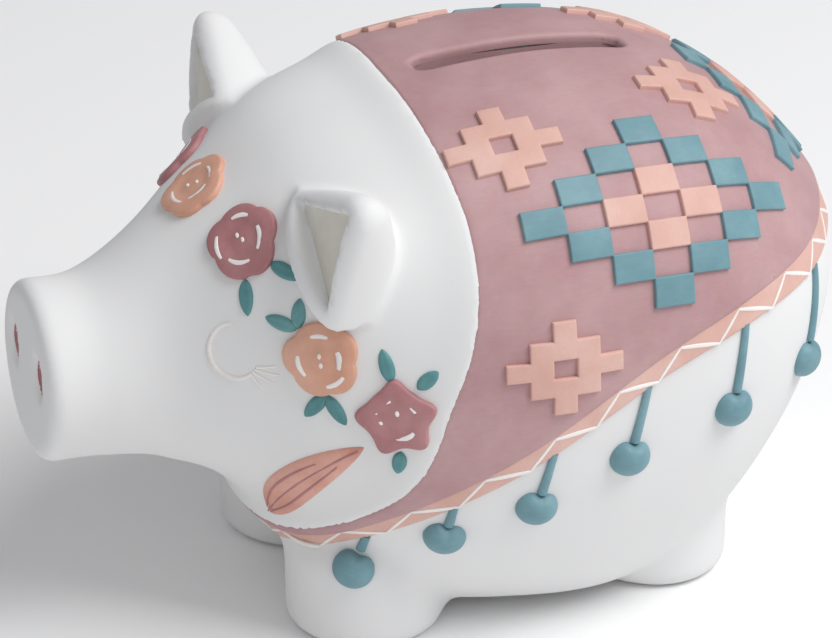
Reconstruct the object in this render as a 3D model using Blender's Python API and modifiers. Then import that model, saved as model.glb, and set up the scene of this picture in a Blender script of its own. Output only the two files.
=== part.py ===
"""A pig money bank: a hollow cast-resin casting, its painted reliefs and a rubber stopper in the belly.

The pig stands on the ground with +Z up, looks along -Y, and has its left side at +X. The origin is on the
ground below the middle of the pig. Sizes are in millimetres, bearings and turns in degrees.
"""

import math

import bmesh
import bpy
import numpy as np
from mathutils import Matrix, Vector
from mathutils.bvhtree import BVHTree
from mathutils.interpolate import poly_3d_calc

MM = 0.001

# Casting
BODY_LENGTH = 156.0
BODY_WIDTH = 100.0
BACK_HEIGHT = 101.5
WAIST_HEIGHT = 54.0
BELLY_HEIGHT = 2.0
SNOUT_RADIUS = 17.0
SNOUT_ROUNDING = 1.6
SNOUT_HEIGHT = WAIST_HEIGHT - 2.0
WALL = 4.5

# Sections behind the snout: share of the length from the snout face, of half the width, of the rise from
# the waist to the back and of the drop from the waist to the belly, then how far the waist is lifted and
# how square the upper and lower halves are (2 is an ellipse).
BARREL = [
    (0.154, 0.41, 0.505, 0.404, -1.0, 2.1, 2.0),
    (0.231, 0.58, 0.674, 0.519, 0.0, 2.3, 2.1),
    (0.308, 0.76, 0.853, 0.808, 0.0, 2.4, 2.1),
    (0.404, 0.91, 0.943, 1.04, 0.0, 2.5, 2.2),
    (0.532, 1.00, 1.000, 1.154, 0.0, 2.5, 2.2),
    (0.660, 1.00, 1.000, 1.19, 0.0, 2.5, 2.2),
    (0.788, 0.94, 0.895, 1.02, 1.0, 2.4, 2.2),
    (0.885, 0.79, 0.684, 0.673, 2.0, 2.3, 2.1),
    (0.955, 0.52, 0.400, 0.346, 4.0, 2.1, 2.0),
    (1.000, 0.00, 0.000, 0.000, 6.0, 2.0, 2.0),
]
NOSE_SHARE = 0.077
NOSE_FLARE = 0.5
BODY_RINGS = 24
BODY_SEGMENTS = 36
CAVITY_RINGS = 16
CAVITY_SEGMENTS = 20

# Legs: share of the length, half the distance between the pair, radius
FRONT_LEG = (0.375, 20.0, 15.0)
REAR_LEG = (0.756, 19.0, 13.5)
LEG_HEIGHT = 25.0
LEG_SHOULDER = 9.0
FOOT_ROUNDING = 3.0
LEG_STEPS = 18

# Ears
EAR_SHARE = 0.308
EAR_BEARING = 43.0
EAR_SPLAY = 48.0
EAR_LEAN = -4.0
EAR_LENGTH = 22.0
EAR_ROOT = 7.0
EAR_WIDTH = 26.0
EAR_THICKNESS = 12.0
EAR_TIP_RADIUS = 2.2
EAR_RIM = 3.8
EAR_TIP_RIM = 4.5
EAR_HOLLOW_BASE = 1.0
EAR_FLOOR = 1.0
EAR_STEPS = 20
LINING_THICKNESS = 0.8

# Nostrils
NOSTRIL_SPACING = 16.0
NOSTRIL_RISE = 2.5
NOSTRIL_WIDTH = 4.0
NOSTRIL_HEIGHT = 8.0
NOSTRIL_DEPTH = 1.6
NOSTRIL_PAINT = 0.7

# Coin slot
SLOT_SHARE = 0.615
SLOT_LENGTH = 42.0
SLOT_WIDTH = 6.0
SLOT_CUT_DEPTH = 30.0

# Belly hole and its stopper
HOLE_SHARE = 0.564
HOLE_RADIUS = 15.0
FLANGE_RADIUS = HOLE_RADIUS + 3.0
FLANGE_THICKNESS = 1.7
SEAT_DEPTH = 2.2
BARREL_STAND = 2.5
RIB_DEPTH = 0.7
PLUG_CLEARANCE = 0.3
PLUG_STEPS = 28
HOLE_STEPS = 48

# Poncho: the neck edge is given by height and share of the length, the hem by share and height
NECK_EDGE = [
    (14.0, 0.205), (24.0, 0.279), (36.0, 0.366), (57.0, 0.423), (70.0, 0.449), (85.0, 0.458), (104.0, 0.440),
]
HEM = [
    (0.20, 9.0), (0.28, 17.8), (0.37, 28.3), (0.50, 40.5), (0.69, 57.5), (0.84, 64.5), (1.02, 67.5),
]
PONCHO_THICKNESS = 1.1
BORDER_THICKNESS = 0.8
BORDER_FRONT = 2.5
BORDER_REAR = 5.2

# Clearance between neighbouring pieces, and under a relief, whose flat facets span a rounder surface
GAP = 0.3
RELIEF_GAP = 0.5

# Stepped patterns; the tiles of a diamond overlap by the joint at their corners
CROSS_CELL = (4.3, 3.5)
CROSS_THICKNESS = 0.8
CROSS_PLACES = [(0.525, 55.5), (0.550, 9.5), (0.785, 68.0)]
TILE = (7.6, 4.8)
RUMP_TILE = (7.4, 4.5)
TILE_THICKNESS = 0.8
TILE_JOINT = 0.3
FLANK_DIAMOND = (0.690, 38.0, 0.0)
RUMP_DIAMOND = (0.820, 90.0, 22.0)

# Tassels: share of the length and length of the cord above the ball
TASSELS = [(0.330, 3.4), (0.430, 3.6), (0.540, 7.5), (0.655, 10.0), (0.785, 12.0), (0.905, 13.0)]
BALL_RADIUS = 3.8
BALL_HEIGHT = 2.8
CORD_WIDTH = 1.7
CORD_GAP = 0.8
CORD_HEIGHT = 1.1

# Garland: share of the length, bearing and turn of each rose on the left side; the first is on the midline
ROSES = [
    ("peach", 0.213, 90.0, 18.0),
    ("mauve", 0.234, 55.5, 20.0),
    ("peach", 0.290, 15.5, 40.0),
    ("mauve", 0.364, -0.5, 10.0),
]
ROSE_RADIUS = 7.2
PETALS = 5
PETAL_DEPTH = 0.7
ROSE_HEIGHT = 1.1
LEAF_HEIGHT = 0.8
LEAF_WIDTH = 2.6
# Leaves: the rose they grow from, the place round it, then the turn and length of each leaf
LEAVES = [
    ("high_front", 1, -108.0, [(-112.0, 5.6)]),
    ("high_rear", 1, -66.0, [(-64.0, 4.8)]),
    ("upper_pair", 2, 130.0, [(166.0, 5.6), (92.0, 4.0)]),
    ("lower_pair", 2, -88.0, [(-134.0, 5.6), (-62.0, 6.0)]),
    ("low_front", 3, 98.0, [(106.0, 5.8)]),
    ("low_rear", 3, 58.0, [(44.0, 4.4)]),
    ("low_under", 3, -84.0, [(-100.0, 4.0)]),
]
FEATHER_PLACE = (0.288, -30.0)
FEATHER_TURN = 62.0
FEATHER_LENGTH = 29.0
FEATHER_WIDTH = 6.4
FEATHER_BOW = 1.8
FEATHER_HEIGHT = 0.9

# Closed eye
EYE_PLACE = (0.206, 19.0)
EYE_RADIUS = 4.6
EYE_ARC = (100.0, 300.0)
EYE_LINE = 0.9
EYE_HEIGHT = 0.5

# Curled tail
TAIL_DROP = 3.0
TAIL_RADII = (2.6, 6.2)
TAIL_TURNS = 1.2
TAIL_WIDTH = 2.6
TAIL_HEIGHT = 2.4


def new_collection(name):
    """A collection in the open scene."""
    collection = bpy.data.collections.new(name)
    bpy.context.scene.collection.children.link(collection)
    return collection


def paint(name, hex_colour, roughness):
    """A plain painted or moulded finish."""
    channels = [int(hex_colour[i:i + 2], 16) / 255 for i in (1, 3, 5)]
    linear = [c / 12.92 if c <= 0.04045 else ((c + 0.055) / 1.055) ** 2.4 for c in channels]
    material = bpy.data.materials.new(name)
    material.use_nodes = True
    shader = material.node_tree.nodes["Principled BSDF"]
    shader.inputs["Base Color"].default_value = (*linear, 1.0)
    shader.inputs["Roughness"].default_value = roughness
    shader.inputs["Metallic"].default_value = 0.0
    return material


def make(name, points, faces, collection, material=None, frame=None):
    """A mesh object from points in millimetres, with its origin and axes at frame."""
    frame = frame or Matrix()
    to_local = frame.inverted()
    mesh = bpy.data.meshes.new(name)
    mesh.from_pydata([(to_local @ Vector(p)) * MM for p in points], [], faces)
    mesh.shade_smooth()
    mesh.set_sharp_from_angle(angle=math.radians(35))
    obj = bpy.data.objects.new(name, mesh)
    obj.matrix_world = Matrix.Translation(frame.translation * MM) @ frame.to_3x3().to_4x4()
    collection.objects.link(obj)
    if material:
        mesh.materials.append(material)
    else:
        obj.hide_render = True
        obj.display_type = "WIRE"
    return obj


def combine(obj, other, operation):
    """A live boolean of obj with a helper object."""
    modifier = obj.modifiers.new(other.name, "BOOLEAN")
    modifier.operation = operation
    modifier.solver = "EXACT"
    modifier.object = other


def along(share):
    """Place along the pig, from the snout face to the rump."""
    return (share - 0.5) * BODY_LENGTH


def smooth(points, count):
    """Evenly spaced points on a smooth curve through the given ones."""
    points = np.array(points, float)
    chord = np.concatenate([[0.0], np.cumsum(np.linalg.norm(np.diff(points, axis=0), axis=1))])
    slope = np.gradient(points, chord, axis=0)
    at = np.linspace(0.0, chord[-1], count)
    k = np.clip(np.searchsorted(chord, at, side="right") - 1, 0, len(points) - 2)
    span = (chord[k + 1] - chord[k])[:, None]
    t = (at - chord[k])[:, None] / span
    start = (1 + 2 * t) * (1 - t) ** 2 * points[k] + t * (1 - t) ** 2 * span * slope[k]
    end = t * t * (3 - 2 * t) * points[k + 1] + t * t * (t - 1) * span * slope[k + 1]
    return start + end


def round_section(y, radius):
    """A round section of the snout."""
    return (y, radius, SNOUT_HEIGHT + radius, SNOUT_HEIGHT - radius, SNOUT_HEIGHT, 2.0, 2.0)


def sections(inset, count):
    """Sections (y, half width, top, bottom, waist, two squarenesses), all moved inwards by inset."""
    snout = SNOUT_RADIUS - inset
    first = along(0.0) + inset
    nose = snout + NOSE_FLARE
    rows = [round_section(first + SNOUT_ROUNDING, snout), round_section(along(NOSE_SHARE), nose)]
    rise = BACK_HEIGHT - WAIST_HEIGHT
    drop = WAIST_HEIGHT - BELLY_HEIGHT
    for share, wide, up, down, lift, square_top, square_bottom in BARREL[:-1]:
        waist = WAIST_HEIGHT + lift
        top = waist + up * rise - inset
        bottom = waist - down * drop + inset
        half_width = wide * BODY_WIDTH / 2 - inset
        rows.append((along(share), half_width, top, bottom, waist, square_top, square_bottom))
    end = WAIST_HEIGHT + BARREL[-1][4]
    rows.append((along(1.0) - inset, 0.0, end, end, end, 2.0, 2.0))
    return np.vstack([round_section(first, snout - SNOUT_ROUNDING), smooth(rows, count)])


def section_ring(section, segments):
    """Points round one section, from the left waist over the top."""
    y, half_width, top, bottom, waist, square_top, square_bottom = section
    turn = np.arange(segments) * 2 * math.pi / segments
    across, up = np.cos(turn), np.sin(turn)
    square = np.where(up > 0, square_top, square_bottom)
    x = half_width * np.sign(across) * np.abs(across) ** (2 / square)
    reach = np.where(up > 0, top - waist, waist - bottom)
    z = waist + reach * np.sign(up) * np.abs(up) ** (2 / square)
    return np.column_stack([x, np.full(segments, y), z])


def barrel(inset=0.0, offset=0.0, rings=BODY_RINGS, segments=BODY_SEGMENTS):
    """Points and faces of the barrel: open at the snout face, closed by a point at the rump."""
    rows = sections(inset, rings)
    grid = np.array([section_ring(row, segments) for row in rows[:-1]])
    rump = np.array([0.0, rows[-1][0] + offset, rows[-1][4]])
    if offset:
        closed = np.concatenate([grid, np.broadcast_to(rump, (1, segments, 3))])
        round_way = np.roll(closed, -1, axis=1) - np.roll(closed, 1, axis=1)
        long_way = np.gradient(closed, axis=0)
        normal = np.cross(long_way, round_way)[:-1]
        grid = grid + offset * normal / np.linalg.norm(normal, axis=2, keepdims=True)
    points = [tuple(p) for ring in grid for p in ring] + [tuple(rump)]
    faces = []
    for i in range(len(grid) - 1):
        for j in range(segments):
            a, b = i * segments + j, i * segments + (j + 1) % segments
            faces.append((a, a + segments, b + segments, b))
    last = (len(grid) - 1) * segments
    faces += [(last + j, len(points) - 1, last + (j + 1) % segments) for j in range(segments)]
    return points, faces


def solid_barrel(name, collection, floor, **options):
    """The barrel closed at the snout face and cut flat at the floor."""
    segments = options.get("segments", BODY_SEGMENTS)
    points, faces = barrel(**options)
    faces.append(tuple(range(segments)))
    obj = make(name, points, faces, collection)
    bm = bmesh.new()
    bm.from_mesh(obj.data)
    everything = bm.verts[:] + bm.edges[:] + bm.faces[:]
    plane = {"plane_co": (0, 0, floor * MM), "plane_no": (0, 0, -1)}
    cut = bmesh.ops.bisect_plane(bm, geom=everything, clear_outer=True, **plane)
    rim = [e for e in cut["geom_cut"] if isinstance(e, bmesh.types.BMEdge)]
    bmesh.ops.edgeloop_fill(bm, edges=rim)
    bmesh.ops.recalc_face_normals(bm, faces=bm.faces)
    bm.to_mesh(obj.data)
    bm.free()
    return obj


class Skin:
    """A surface that reliefs are laid on."""

    def __init__(self, points, polygons):
        self.points = [Vector(p) for p in points]
        self.polygons = polygons
        self.tree = BVHTree.FromPolygons(self.points, polygons)
        self.normals = [Vector() for _ in points]
        for polygon in polygons:
            a, b, c = (self.points[i] for i in polygon[:3])
            for i in polygon:
                self.normals[i] += (b - a).cross(c - a)

    def touch(self, start, direction):
        """Where a ray meets the surface, and the smooth normal there. The nudge keeps rays off the seams."""
        nudge = Vector((0.0011, 0.0017, 0.0013))
        point, _, index, _ = self.tree.ray_cast(start + nudge, direction)
        corners = self.polygons[index]
        weights = poly_3d_calc([self.points[i] for i in corners], point)
        normal = sum((self.normals[i].normalized() * w for i, w in zip(corners, weights)), Vector())
        return point, normal.normalized()


def seat(skin, share, bearing, pitch=0.0, turn=0.0, long_way=(0, 1, 0), height=WAIST_HEIGHT):
    """A frame on the skin: x runs towards the rump, y up and z out, turned about z."""
    b, p = math.radians(bearing), math.radians(pitch)
    direction = Vector((math.cos(b) * math.cos(p), math.sin(p), math.sin(b) * math.cos(p)))
    point, out = skin.touch(Vector((0.0, along(share), height)), direction)
    x = Vector(long_way)
    x = (x - x.dot(out) * out).normalized()
    frame = Matrix.Translation(point) @ Matrix((x, out.cross(x), out)).transposed().to_4x4()
    return frame @ Matrix.Rotation(math.radians(turn), 4, "Z")


def relief(name, flat, skin, frame, material, side=1):
    """Lay a flat pattern (points of x, y and height, and faces) on the skin as a closed solid."""
    points, faces = flat
    out = frame.to_3x3().col[2]
    low, high = [], []
    for x, y, height in points:
        point, normal = skin.touch(frame @ Vector((x, y, BODY_WIDTH)), -out)
        low.append(point + RELIEF_GAP * normal)
        high.append(point + (RELIEF_GAP + float(height)) * normal)
    count = len(points)
    shell = [tuple(i + count for i in face) for face in faces] + [face[::-1] for face in faces]
    edges = [(face[i], face[(i + 1) % len(face)]) for face in faces for i in range(len(face))]
    open_edges = set(edges)
    shell += [(a, b, b + count, a + count) for a, b in edges if (b, a) not in open_edges]
    solid = low + high
    if side < 0:
        flip = Matrix.Scale(-1, 4, (1, 0, 0))
        solid = [flip @ p for p in solid]
        shell = [face[::-1] for face in shell]
        frame = flip @ frame @ Matrix.Scale(-1, 4, (0, 1, 0))
    return make(name, solid, shell, parts, material, frame)


def ribbon(line, half_widths, height, across=4, edge=0.25):
    """A crowned strip along a flat line: height at the middle, edge times height at its sides."""
    line = np.array(line, float)
    way = np.gradient(line, axis=0)
    way /= np.linalg.norm(way, axis=1, keepdims=True)
    side = np.column_stack([-way[:, 1], way[:, 0]])
    t = np.linspace(-1, 1, across + 1)
    crown = edge + (1 - edge) * np.sqrt(1 - t * t)
    heights = np.broadcast_to(height, len(line))
    points = []
    for centre, normal, half, top in zip(line, side, half_widths, heights):
        points += [(*(centre + normal * half * u), top * c) for u, c in zip(t, crown)]
    row = across + 1
    faces = [(i * row + j, (i + 1) * row + j, (i + 1) * row + j + 1, i * row + j + 1)
             for i in range(len(line) - 1) for j in range(across)]
    return points, faces


def rosette(radius, height, segments=20, rings=2, middle=0.6):
    """A disc whose radius follows the angle, dished so that its middle is lower than its rim."""
    points = [(0.0, 0.0, height * middle)]
    for ring in range(1, rings + 1):
        share = ring / rings
        top = height * (middle + (1 - middle) * share)
        for j in range(segments):
            angle = 2 * math.pi * j / segments
            reach = radius(angle) * share
            points.append((reach * math.cos(angle), reach * math.sin(angle), top))
    faces = [(0, 1 + j, 1 + (j + 1) % segments) for j in range(segments)]
    for ring in range(rings - 1):
        first = 1 + ring * segments
        for j in range(segments):
            a, b = first + j, first + (j + 1) % segments
            faces.append((a, a + segments, b + segments, b))
    return points, faces


def cells(wanted, cell, reach, height, grow=0.0, rim=0.0):
    """The wanted cells of a grid as one plate. grow widens the cells so that diagonal neighbours join, and
    rim is taken off the outermost cells."""
    lines = []
    for size in cell:
        inner = [(k + 0.5) * size + step for k in range(-reach, reach) for step in {-grow, grow}]
        edge = (reach + 0.5) * size - rim
        lines.append(sorted([-edge, edge] + inner))
    index, points, faces = {}, [], []

    def corner(i, j):
        if (i, j) not in index:
            index[i, j] = len(points)
            points.append((lines[0][i], lines[1][j], height))
        return index[i, j]

    def covered(x, y):
        return any(abs(x - i * cell[0]) < cell[0] / 2 + grow and abs(y - j * cell[1]) < cell[1] / 2 + grow
                   for i, j in wanted)

    for i in range(len(lines[0]) - 1):
        for j in range(len(lines[1]) - 1):
            if covered((lines[0][i] + lines[0][i + 1]) / 2, (lines[1][j] + lines[1][j + 1]) / 2):
                faces.append((corner(i, j), corner(i + 1, j), corner(i + 1, j + 1), corner(i, j + 1)))
    return points, faces


def steps_at(distances, reach):
    """Grid cells whose stepped distance from the middle is one of distances."""
    span = range(-reach, reach + 1)
    return [(i, j) for i in span for j in span if abs(i) + abs(j) in distances]


def curve(points):
    """A function of the first coordinate through the given points."""
    samples = smooth(points, 80)
    return lambda value: float(np.interp(value, samples[:, 0], samples[:, 1]))


def trim(bm, value_at):
    """Cut an open mesh along the line where value_at is zero, and delete what lies below zero."""
    near = 0.1
    value = {}
    for vert in bm.verts:
        value[vert] = value_at(vert.co / MM)
        if abs(value[vert]) < near:
            value[vert] = 0.0
    for edge in bm.edges[:]:
        a, b = edge.verts
        if value[a] * value[b] < 0:
            _, vert = bmesh.utils.edge_split(edge, a, value[a] / (value[a] - value[b]))
            value[vert] = 0.0
    for face in bm.faces[:]:
        on_line = [v for v in face.verts if value[v] == 0]
        joined = len(on_line) == 2 and any(set(e.verts) == set(on_line) for e in face.edges)
        if len(on_line) == 2 and not joined:
            bmesh.utils.face_split(face, *on_line)
    outside = [f for f in bm.faces if min(value[v] for v in f.verts) < 0]
    bmesh.ops.delete(bm, geom=outside, context="FACES")


def cloth(name, keeps, thickness, material):
    """A sheet on the barrel, trimmed along each line in keeps and thickened outwards."""
    points, faces = barrel(offset=GAP)
    obj = make(name, points, faces, parts, material)
    bm = bmesh.new()
    bm.from_mesh(obj.data)
    for keep in keeps:
        trim(bm, keep)
    bm.to_mesh(obj.data)
    bm.free()
    solidify = obj.modifiers.new("thickness", "SOLIDIFY")
    solidify.thickness = thickness * MM
    solidify.offset = 1.0
    return obj


def turned(name, profile, collection, place, steps, material=None):
    """A solid turned about Z: a profile of radius and height, from its top to its bottom."""
    frame = Matrix.Translation(place)
    points = [frame @ Vector((r, 0.0, z)) for r, z in profile]
    obj = make(name, points, [], collection, material, frame)
    bm = bmesh.new()
    bm.from_mesh(obj.data)
    bm.verts.ensure_lookup_table()
    for i in range(len(profile) - 1):
        bm.edges.new((bm.verts[i], bm.verts[i + 1]))
    bm.to_mesh(obj.data)
    bm.free()
    screw = obj.modifiers.new("turn", "SCREW")
    screw.axis = "Z"
    screw.steps = steps
    screw.render_steps = steps
    screw.use_merge_vertices = True
    screw.merge_threshold = 0.00001
    screw.use_smooth_shade = True
    return obj


def disc(name, radius, low, high, place):
    """A round cutter about Z between two heights."""
    bm = bmesh.new()
    size = {"segments": HOLE_STEPS, "radius1": radius, "radius2": radius, "depth": high - low}
    bmesh.ops.create_cone(bm, cap_ends=True, **size)
    bmesh.ops.translate(bm, verts=bm.verts, vec=(place[0], place[1], (low + high) / 2))
    points = [tuple(v.co) for v in bm.verts]
    faces = [tuple(v.index for v in f.verts) for f in bm.faces]
    bm.free()
    return make(name, points, faces, helpers)


def quarter(centre, radius_x, radius_y, start, end, count=4):
    """Points on an elliptical arc, in degrees."""
    angles = np.radians(np.linspace(start, end, count))
    return [(centre[0] + radius_x * math.cos(a), centre[1] + radius_y * math.sin(a)) for a in angles]


def leg(name, leg_size, side, clearance=0.0):
    """A stub leg with a domed shoulder inside the body and a rounded foot."""
    share, half_track, radius = leg_size
    radius += clearance
    foot = FOOT_ROUNDING
    shoulder = quarter((0.0, LEG_SHOULDER), radius, LEG_HEIGHT - LEG_SHOULDER + clearance, 90, 0, 5)
    sole = quarter((radius - foot, foot), foot, foot, 0, -90)
    profile = [(max(r, 0.0), z) for r, z in shoulder + sole + [(0.0, 0.0)]]
    profile[0] = (0.0, profile[0][1])
    return turned(name, profile, helpers, (side * half_track, along(share), 0.0), LEG_STEPS)


def ear_frame(side):
    """The root of an ear: x across it, y towards its tip and z out of its hollow."""
    root = seat(form_skin, EAR_SHARE, EAR_BEARING)
    splay, lean = math.radians(EAR_SPLAY), math.radians(EAR_LEAN)
    tip = Vector((math.cos(splay) * math.cos(lean), -math.sin(lean), math.sin(splay) * math.cos(lean)))
    facing = Vector((0.0, -1.0, 0.0))
    facing = (facing - facing.dot(tip) * tip).normalized()
    axes = Matrix((tip.cross(facing), tip, facing)).transposed()
    frame = Matrix.Translation(root.translation) @ axes.to_4x4()
    if side < 0:
        frame = Matrix.Scale(-1, 4, (1, 0, 0)) @ frame @ Matrix.Scale(-1, 4, (1, 0, 0))
    return frame


def ear_horn(side):
    """The ear: a flattened cone rooted in the head."""
    bm = bmesh.new()
    length = EAR_LENGTH + EAR_ROOT
    tip_share = EAR_TIP_RADIUS / (EAR_WIDTH / 2)
    size = {"segments": EAR_STEPS, "radius1": 1.0, "radius2": tip_share, "depth": length}
    bmesh.ops.create_cone(bm, cap_ends=True, **size)
    lay_down = Matrix.Translation((0, length / 2 - EAR_ROOT, 0)) @ Matrix.Rotation(math.radians(-90), 4, "X")
    flatten = Matrix.Diagonal((EAR_WIDTH / 2, 1.0, EAR_THICKNESS / 2, 1.0))
    frame = ear_frame(side)
    points = [tuple(frame @ flatten @ lay_down @ v.co) for v in bm.verts]
    faces = [tuple(v.index for v in f.verts) for f in bm.faces]
    bm.free()
    return make("ear_horn", points, faces, helpers)


def ear_plate(name, inset, low, high, side, material=None):
    """A triangular plate in the ear's frame, inset from the ear's outline."""
    top = EAR_LENGTH - EAR_TIP_RIM - 2 * inset
    half = EAR_WIDTH / 2 - EAR_RIM - inset
    base = EAR_HOLLOW_BASE + inset
    outline = [(-half, base), (half, base), (0.0, top)]
    frame = ear_frame(side)
    points = [frame @ Vector((x, y, z)) for z in (low, high) for x, y in outline]
    faces = [(2, 1, 0), (3, 4, 5), (0, 1, 4, 3), (1, 2, 5, 4), (2, 0, 3, 5)]
    collection = parts if material else helpers
    return make(name, points, faces, collection, material, frame if material else None)


def nostril(name, inset, depth, height, side, material=None):
    """An oval plug in the snout face; depth and height are measured from the face."""
    bm = bmesh.new()
    bmesh.ops.create_cone(bm, cap_ends=True, segments=20, radius1=1.0, radius2=1.0, depth=depth + height)
    place = Matrix.Translation((side * NOSTRIL_SPACING / 2, along(0.0), SNOUT_HEIGHT + NOSTRIL_RISE))
    size = Matrix.Diagonal((NOSTRIL_WIDTH / 2 - inset, NOSTRIL_HEIGHT / 2 - inset, 1.0, 1.0))
    shift = Matrix.Translation((0, 0, (height - depth) / 2))
    frame = place @ Matrix.Rotation(math.radians(90), 4, "X")
    points = [tuple(frame @ shift @ size @ v.co) for v in bm.verts]
    faces = [tuple(v.index for v in f.verts) for f in bm.faces]
    bm.free()
    return make(name, points, faces, parts if material else helpers, material, frame if material else None)


def slot_cutter():
    """The coin slot: a flat outline with round ends, cut down through the back."""
    half = (SLOT_LENGTH - SLOT_WIDTH) / 2
    radius = SLOT_WIDTH / 2
    outline = quarter((0.0, half), radius, radius, 0, 180, 9)
    outline += quarter((0.0, -half), radius, radius, 180, 360, 9)
    count = len(outline)
    middle = along(SLOT_SHARE)
    heights = (BACK_HEIGHT - SLOT_CUT_DEPTH, BACK_HEIGHT + SLOT_CUT_DEPTH)
    points = [(x, middle + y, z) for z in heights for x, y in outline]
    faces = [tuple(reversed(range(count))), tuple(range(count, 2 * count))]
    faces += [(i, (i + 1) % count, (i + 1) % count + count, i + count) for i in range(count)]
    return make("slot_cut", points, faces, helpers)


def stopper_profile():
    """The stopper, from the top of its barrel to the underside of its flange."""
    flange_top = BELLY_HEIGHT + SEAT_DEPTH - PLUG_CLEARANCE
    flange_low = flange_top - FLANGE_THICKNESS
    top = BELLY_HEIGHT + WALL + BARREL_STAND
    plug = HOLE_RADIUS - PLUG_CLEARANCE
    neck = plug - RIB_DEPTH
    pitch = (top - flange_top) / 4
    profile = [(0.0, top), (neck, top), (plug, top - 0.5 * pitch), (plug, top - 1.5 * pitch)]
    profile += [(neck, top - 2.0 * pitch), (neck, top - 2.6 * pitch), (plug, top - 3.1 * pitch)]
    profile += [(plug, flange_top)]
    profile += [(FLANGE_RADIUS - 0.5, flange_top), (FLANGE_RADIUS, flange_top - 0.5)]
    profile += [(FLANGE_RADIUS, flange_low + 0.4), (FLANGE_RADIUS - 0.4, flange_low), (0.0, flange_low)]
    return profile


for leftover in list(bpy.data.objects):
    bpy.data.objects.remove(leftover, do_unlink=True)

parts = new_collection("pig_money_bank")
helpers = new_collection("cutters_and_guides")
white = paint("white_painted_resin", "#DDDCE2", 0.55)
mauve = paint("mauve_paint", "#BF9B9B", 0.6)
rose_mauve = paint("rose_paint", "#A87578", 0.6)
peach = paint("peach_paint", "#DCB1A2", 0.6)
teal = paint("teal_paint", "#6E959D", 0.6)
cream = paint("cream_paint", "#C9C8BF", 0.6)
rubber = paint("grey_rubber", "#B9B9BC", 0.8)

# Outer form and casting
form = solid_barrel("outer_form", helpers, BELLY_HEIGHT)
for leg_size, place in ((FRONT_LEG, "front"), (REAR_LEG, "rear")):
    for side in (1, -1):
        combine(form, leg(f"{place}_leg_{side}", leg_size, side), "UNION")
evaluated = form.evaluated_get(bpy.context.evaluated_depsgraph_get())
form_mesh = bpy.data.meshes.new_from_object(evaluated)
form_points = [tuple(v.co / MM) for v in form_mesh.vertices]
form_faces = [tuple(p.vertices) for p in form_mesh.polygons]
form_skin = Skin(form_points, form_faces)

body = make("body_shell", form_points, form_faces, parts, white)
for side in (1, -1):
    combine(body, ear_horn(side), "UNION")
inner = {"inset": WALL, "rings": CAVITY_RINGS, "segments": CAVITY_SEGMENTS}
cavity = solid_barrel("cavity", helpers, BELLY_HEIGHT + WALL, **inner)
slot = slot_cutter()
hole_place = (0.0, along(HOLE_SHARE))
below = BELLY_HEIGHT - WALL
hole = disc("hole_cut", HOLE_RADIUS, below, BELLY_HEIGHT + 2 * WALL, hole_place)
seat_radius = FLANGE_RADIUS + PLUG_CLEARANCE
flange_seat = disc("flange_seat", seat_radius, below, BELLY_HEIGHT + SEAT_DEPTH, hole_place)
for cutter in (cavity, slot, hole, flange_seat):
    combine(body, cutter, "DIFFERENCE")
for side in (1, -1):
    combine(body, ear_plate("ear_hollow", 0.0, EAR_FLOOR, EAR_THICKNESS, side), "DIFFERENCE")
    combine(body, nostril("nostril_cut", 0.0, NOSTRIL_DEPTH, NOSTRIL_DEPTH, side), "DIFFERENCE")

turned("belly_stopper", stopper_profile(), parts, (*hole_place, 0.0), PLUG_STEPS, rubber)

# Poncho and its border
neck_share = curve(NECK_EDGE)
hem_height = curve(HEM)


def behind_neck(p):
    return p.y - along(neck_share(p.z))


def above_hem(p):
    return p.z - hem_height(p.y / BODY_LENGTH + 0.5)


def border_width(p):
    share = min(max(p.y / BODY_LENGTH + 0.5, 0.0), 1.0)
    return BORDER_FRONT + (BORDER_REAR - BORDER_FRONT) * share


def above_border(p):
    return above_hem(p) - border_width(p) - GAP / 2


def below_poncho(p):
    return -(above_hem(p) - border_width(p) + GAP / 2)


poncho = cloth("poncho", [behind_neck, above_border], PONCHO_THICKNESS, mauve)
border = cloth("poncho_border", [behind_neck, above_hem, below_poncho], BORDER_THICKNESS, peach)
combine(poncho, slot, "DIFFERENCE")
for side in (1, -1):
    leg_way = leg(f"leg_way_{side}", FRONT_LEG, side, GAP)
    combine(poncho, leg_way, "DIFFERENCE")
    combine(border, leg_way, "DIFFERENCE")

# Stepped patterns on the poncho
poncho_skin = Skin(*barrel(offset=GAP + PONCHO_THICKNESS))
cross = cells([c for c in steps_at((0, 1, 2), 2) if c != (0, 0)], CROSS_CELL, 2, CROSS_THICKNESS)
sides = (("left", 1), ("right", -1))
for word, side in sides:
    for number, (share, bearing) in enumerate(CROSS_PLACES, 1):
        relief(f"cross_{word}_{number}", cross, poncho_skin, seat(poncho_skin, share, bearing), peach, side)


def diamond(name, tile, place, side=1):
    """A ring of twelve tiles round a core of four, each held together at the corners of its tiles."""
    ring = cells(steps_at((3,), 3), tile, 3, TILE_THICKNESS, TILE_JOINT)
    core = cells(steps_at((1,), 1), tile, 1, TILE_THICKNESS, TILE_JOINT, TILE_JOINT + GAP)
    relief(f"diamond_ring_{name}", ring, poncho_skin, place, teal, side)
    relief(f"diamond_core_{name}", core, poncho_skin, place, peach, side)


for word, side in sides:
    diamond(word, TILE, seat(poncho_skin, *FLANK_DIAMOND), side)
diamond("rump", RUMP_TILE, seat(poncho_skin, *RUMP_DIAMOND, long_way=(-1, 0, 0)))


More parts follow.
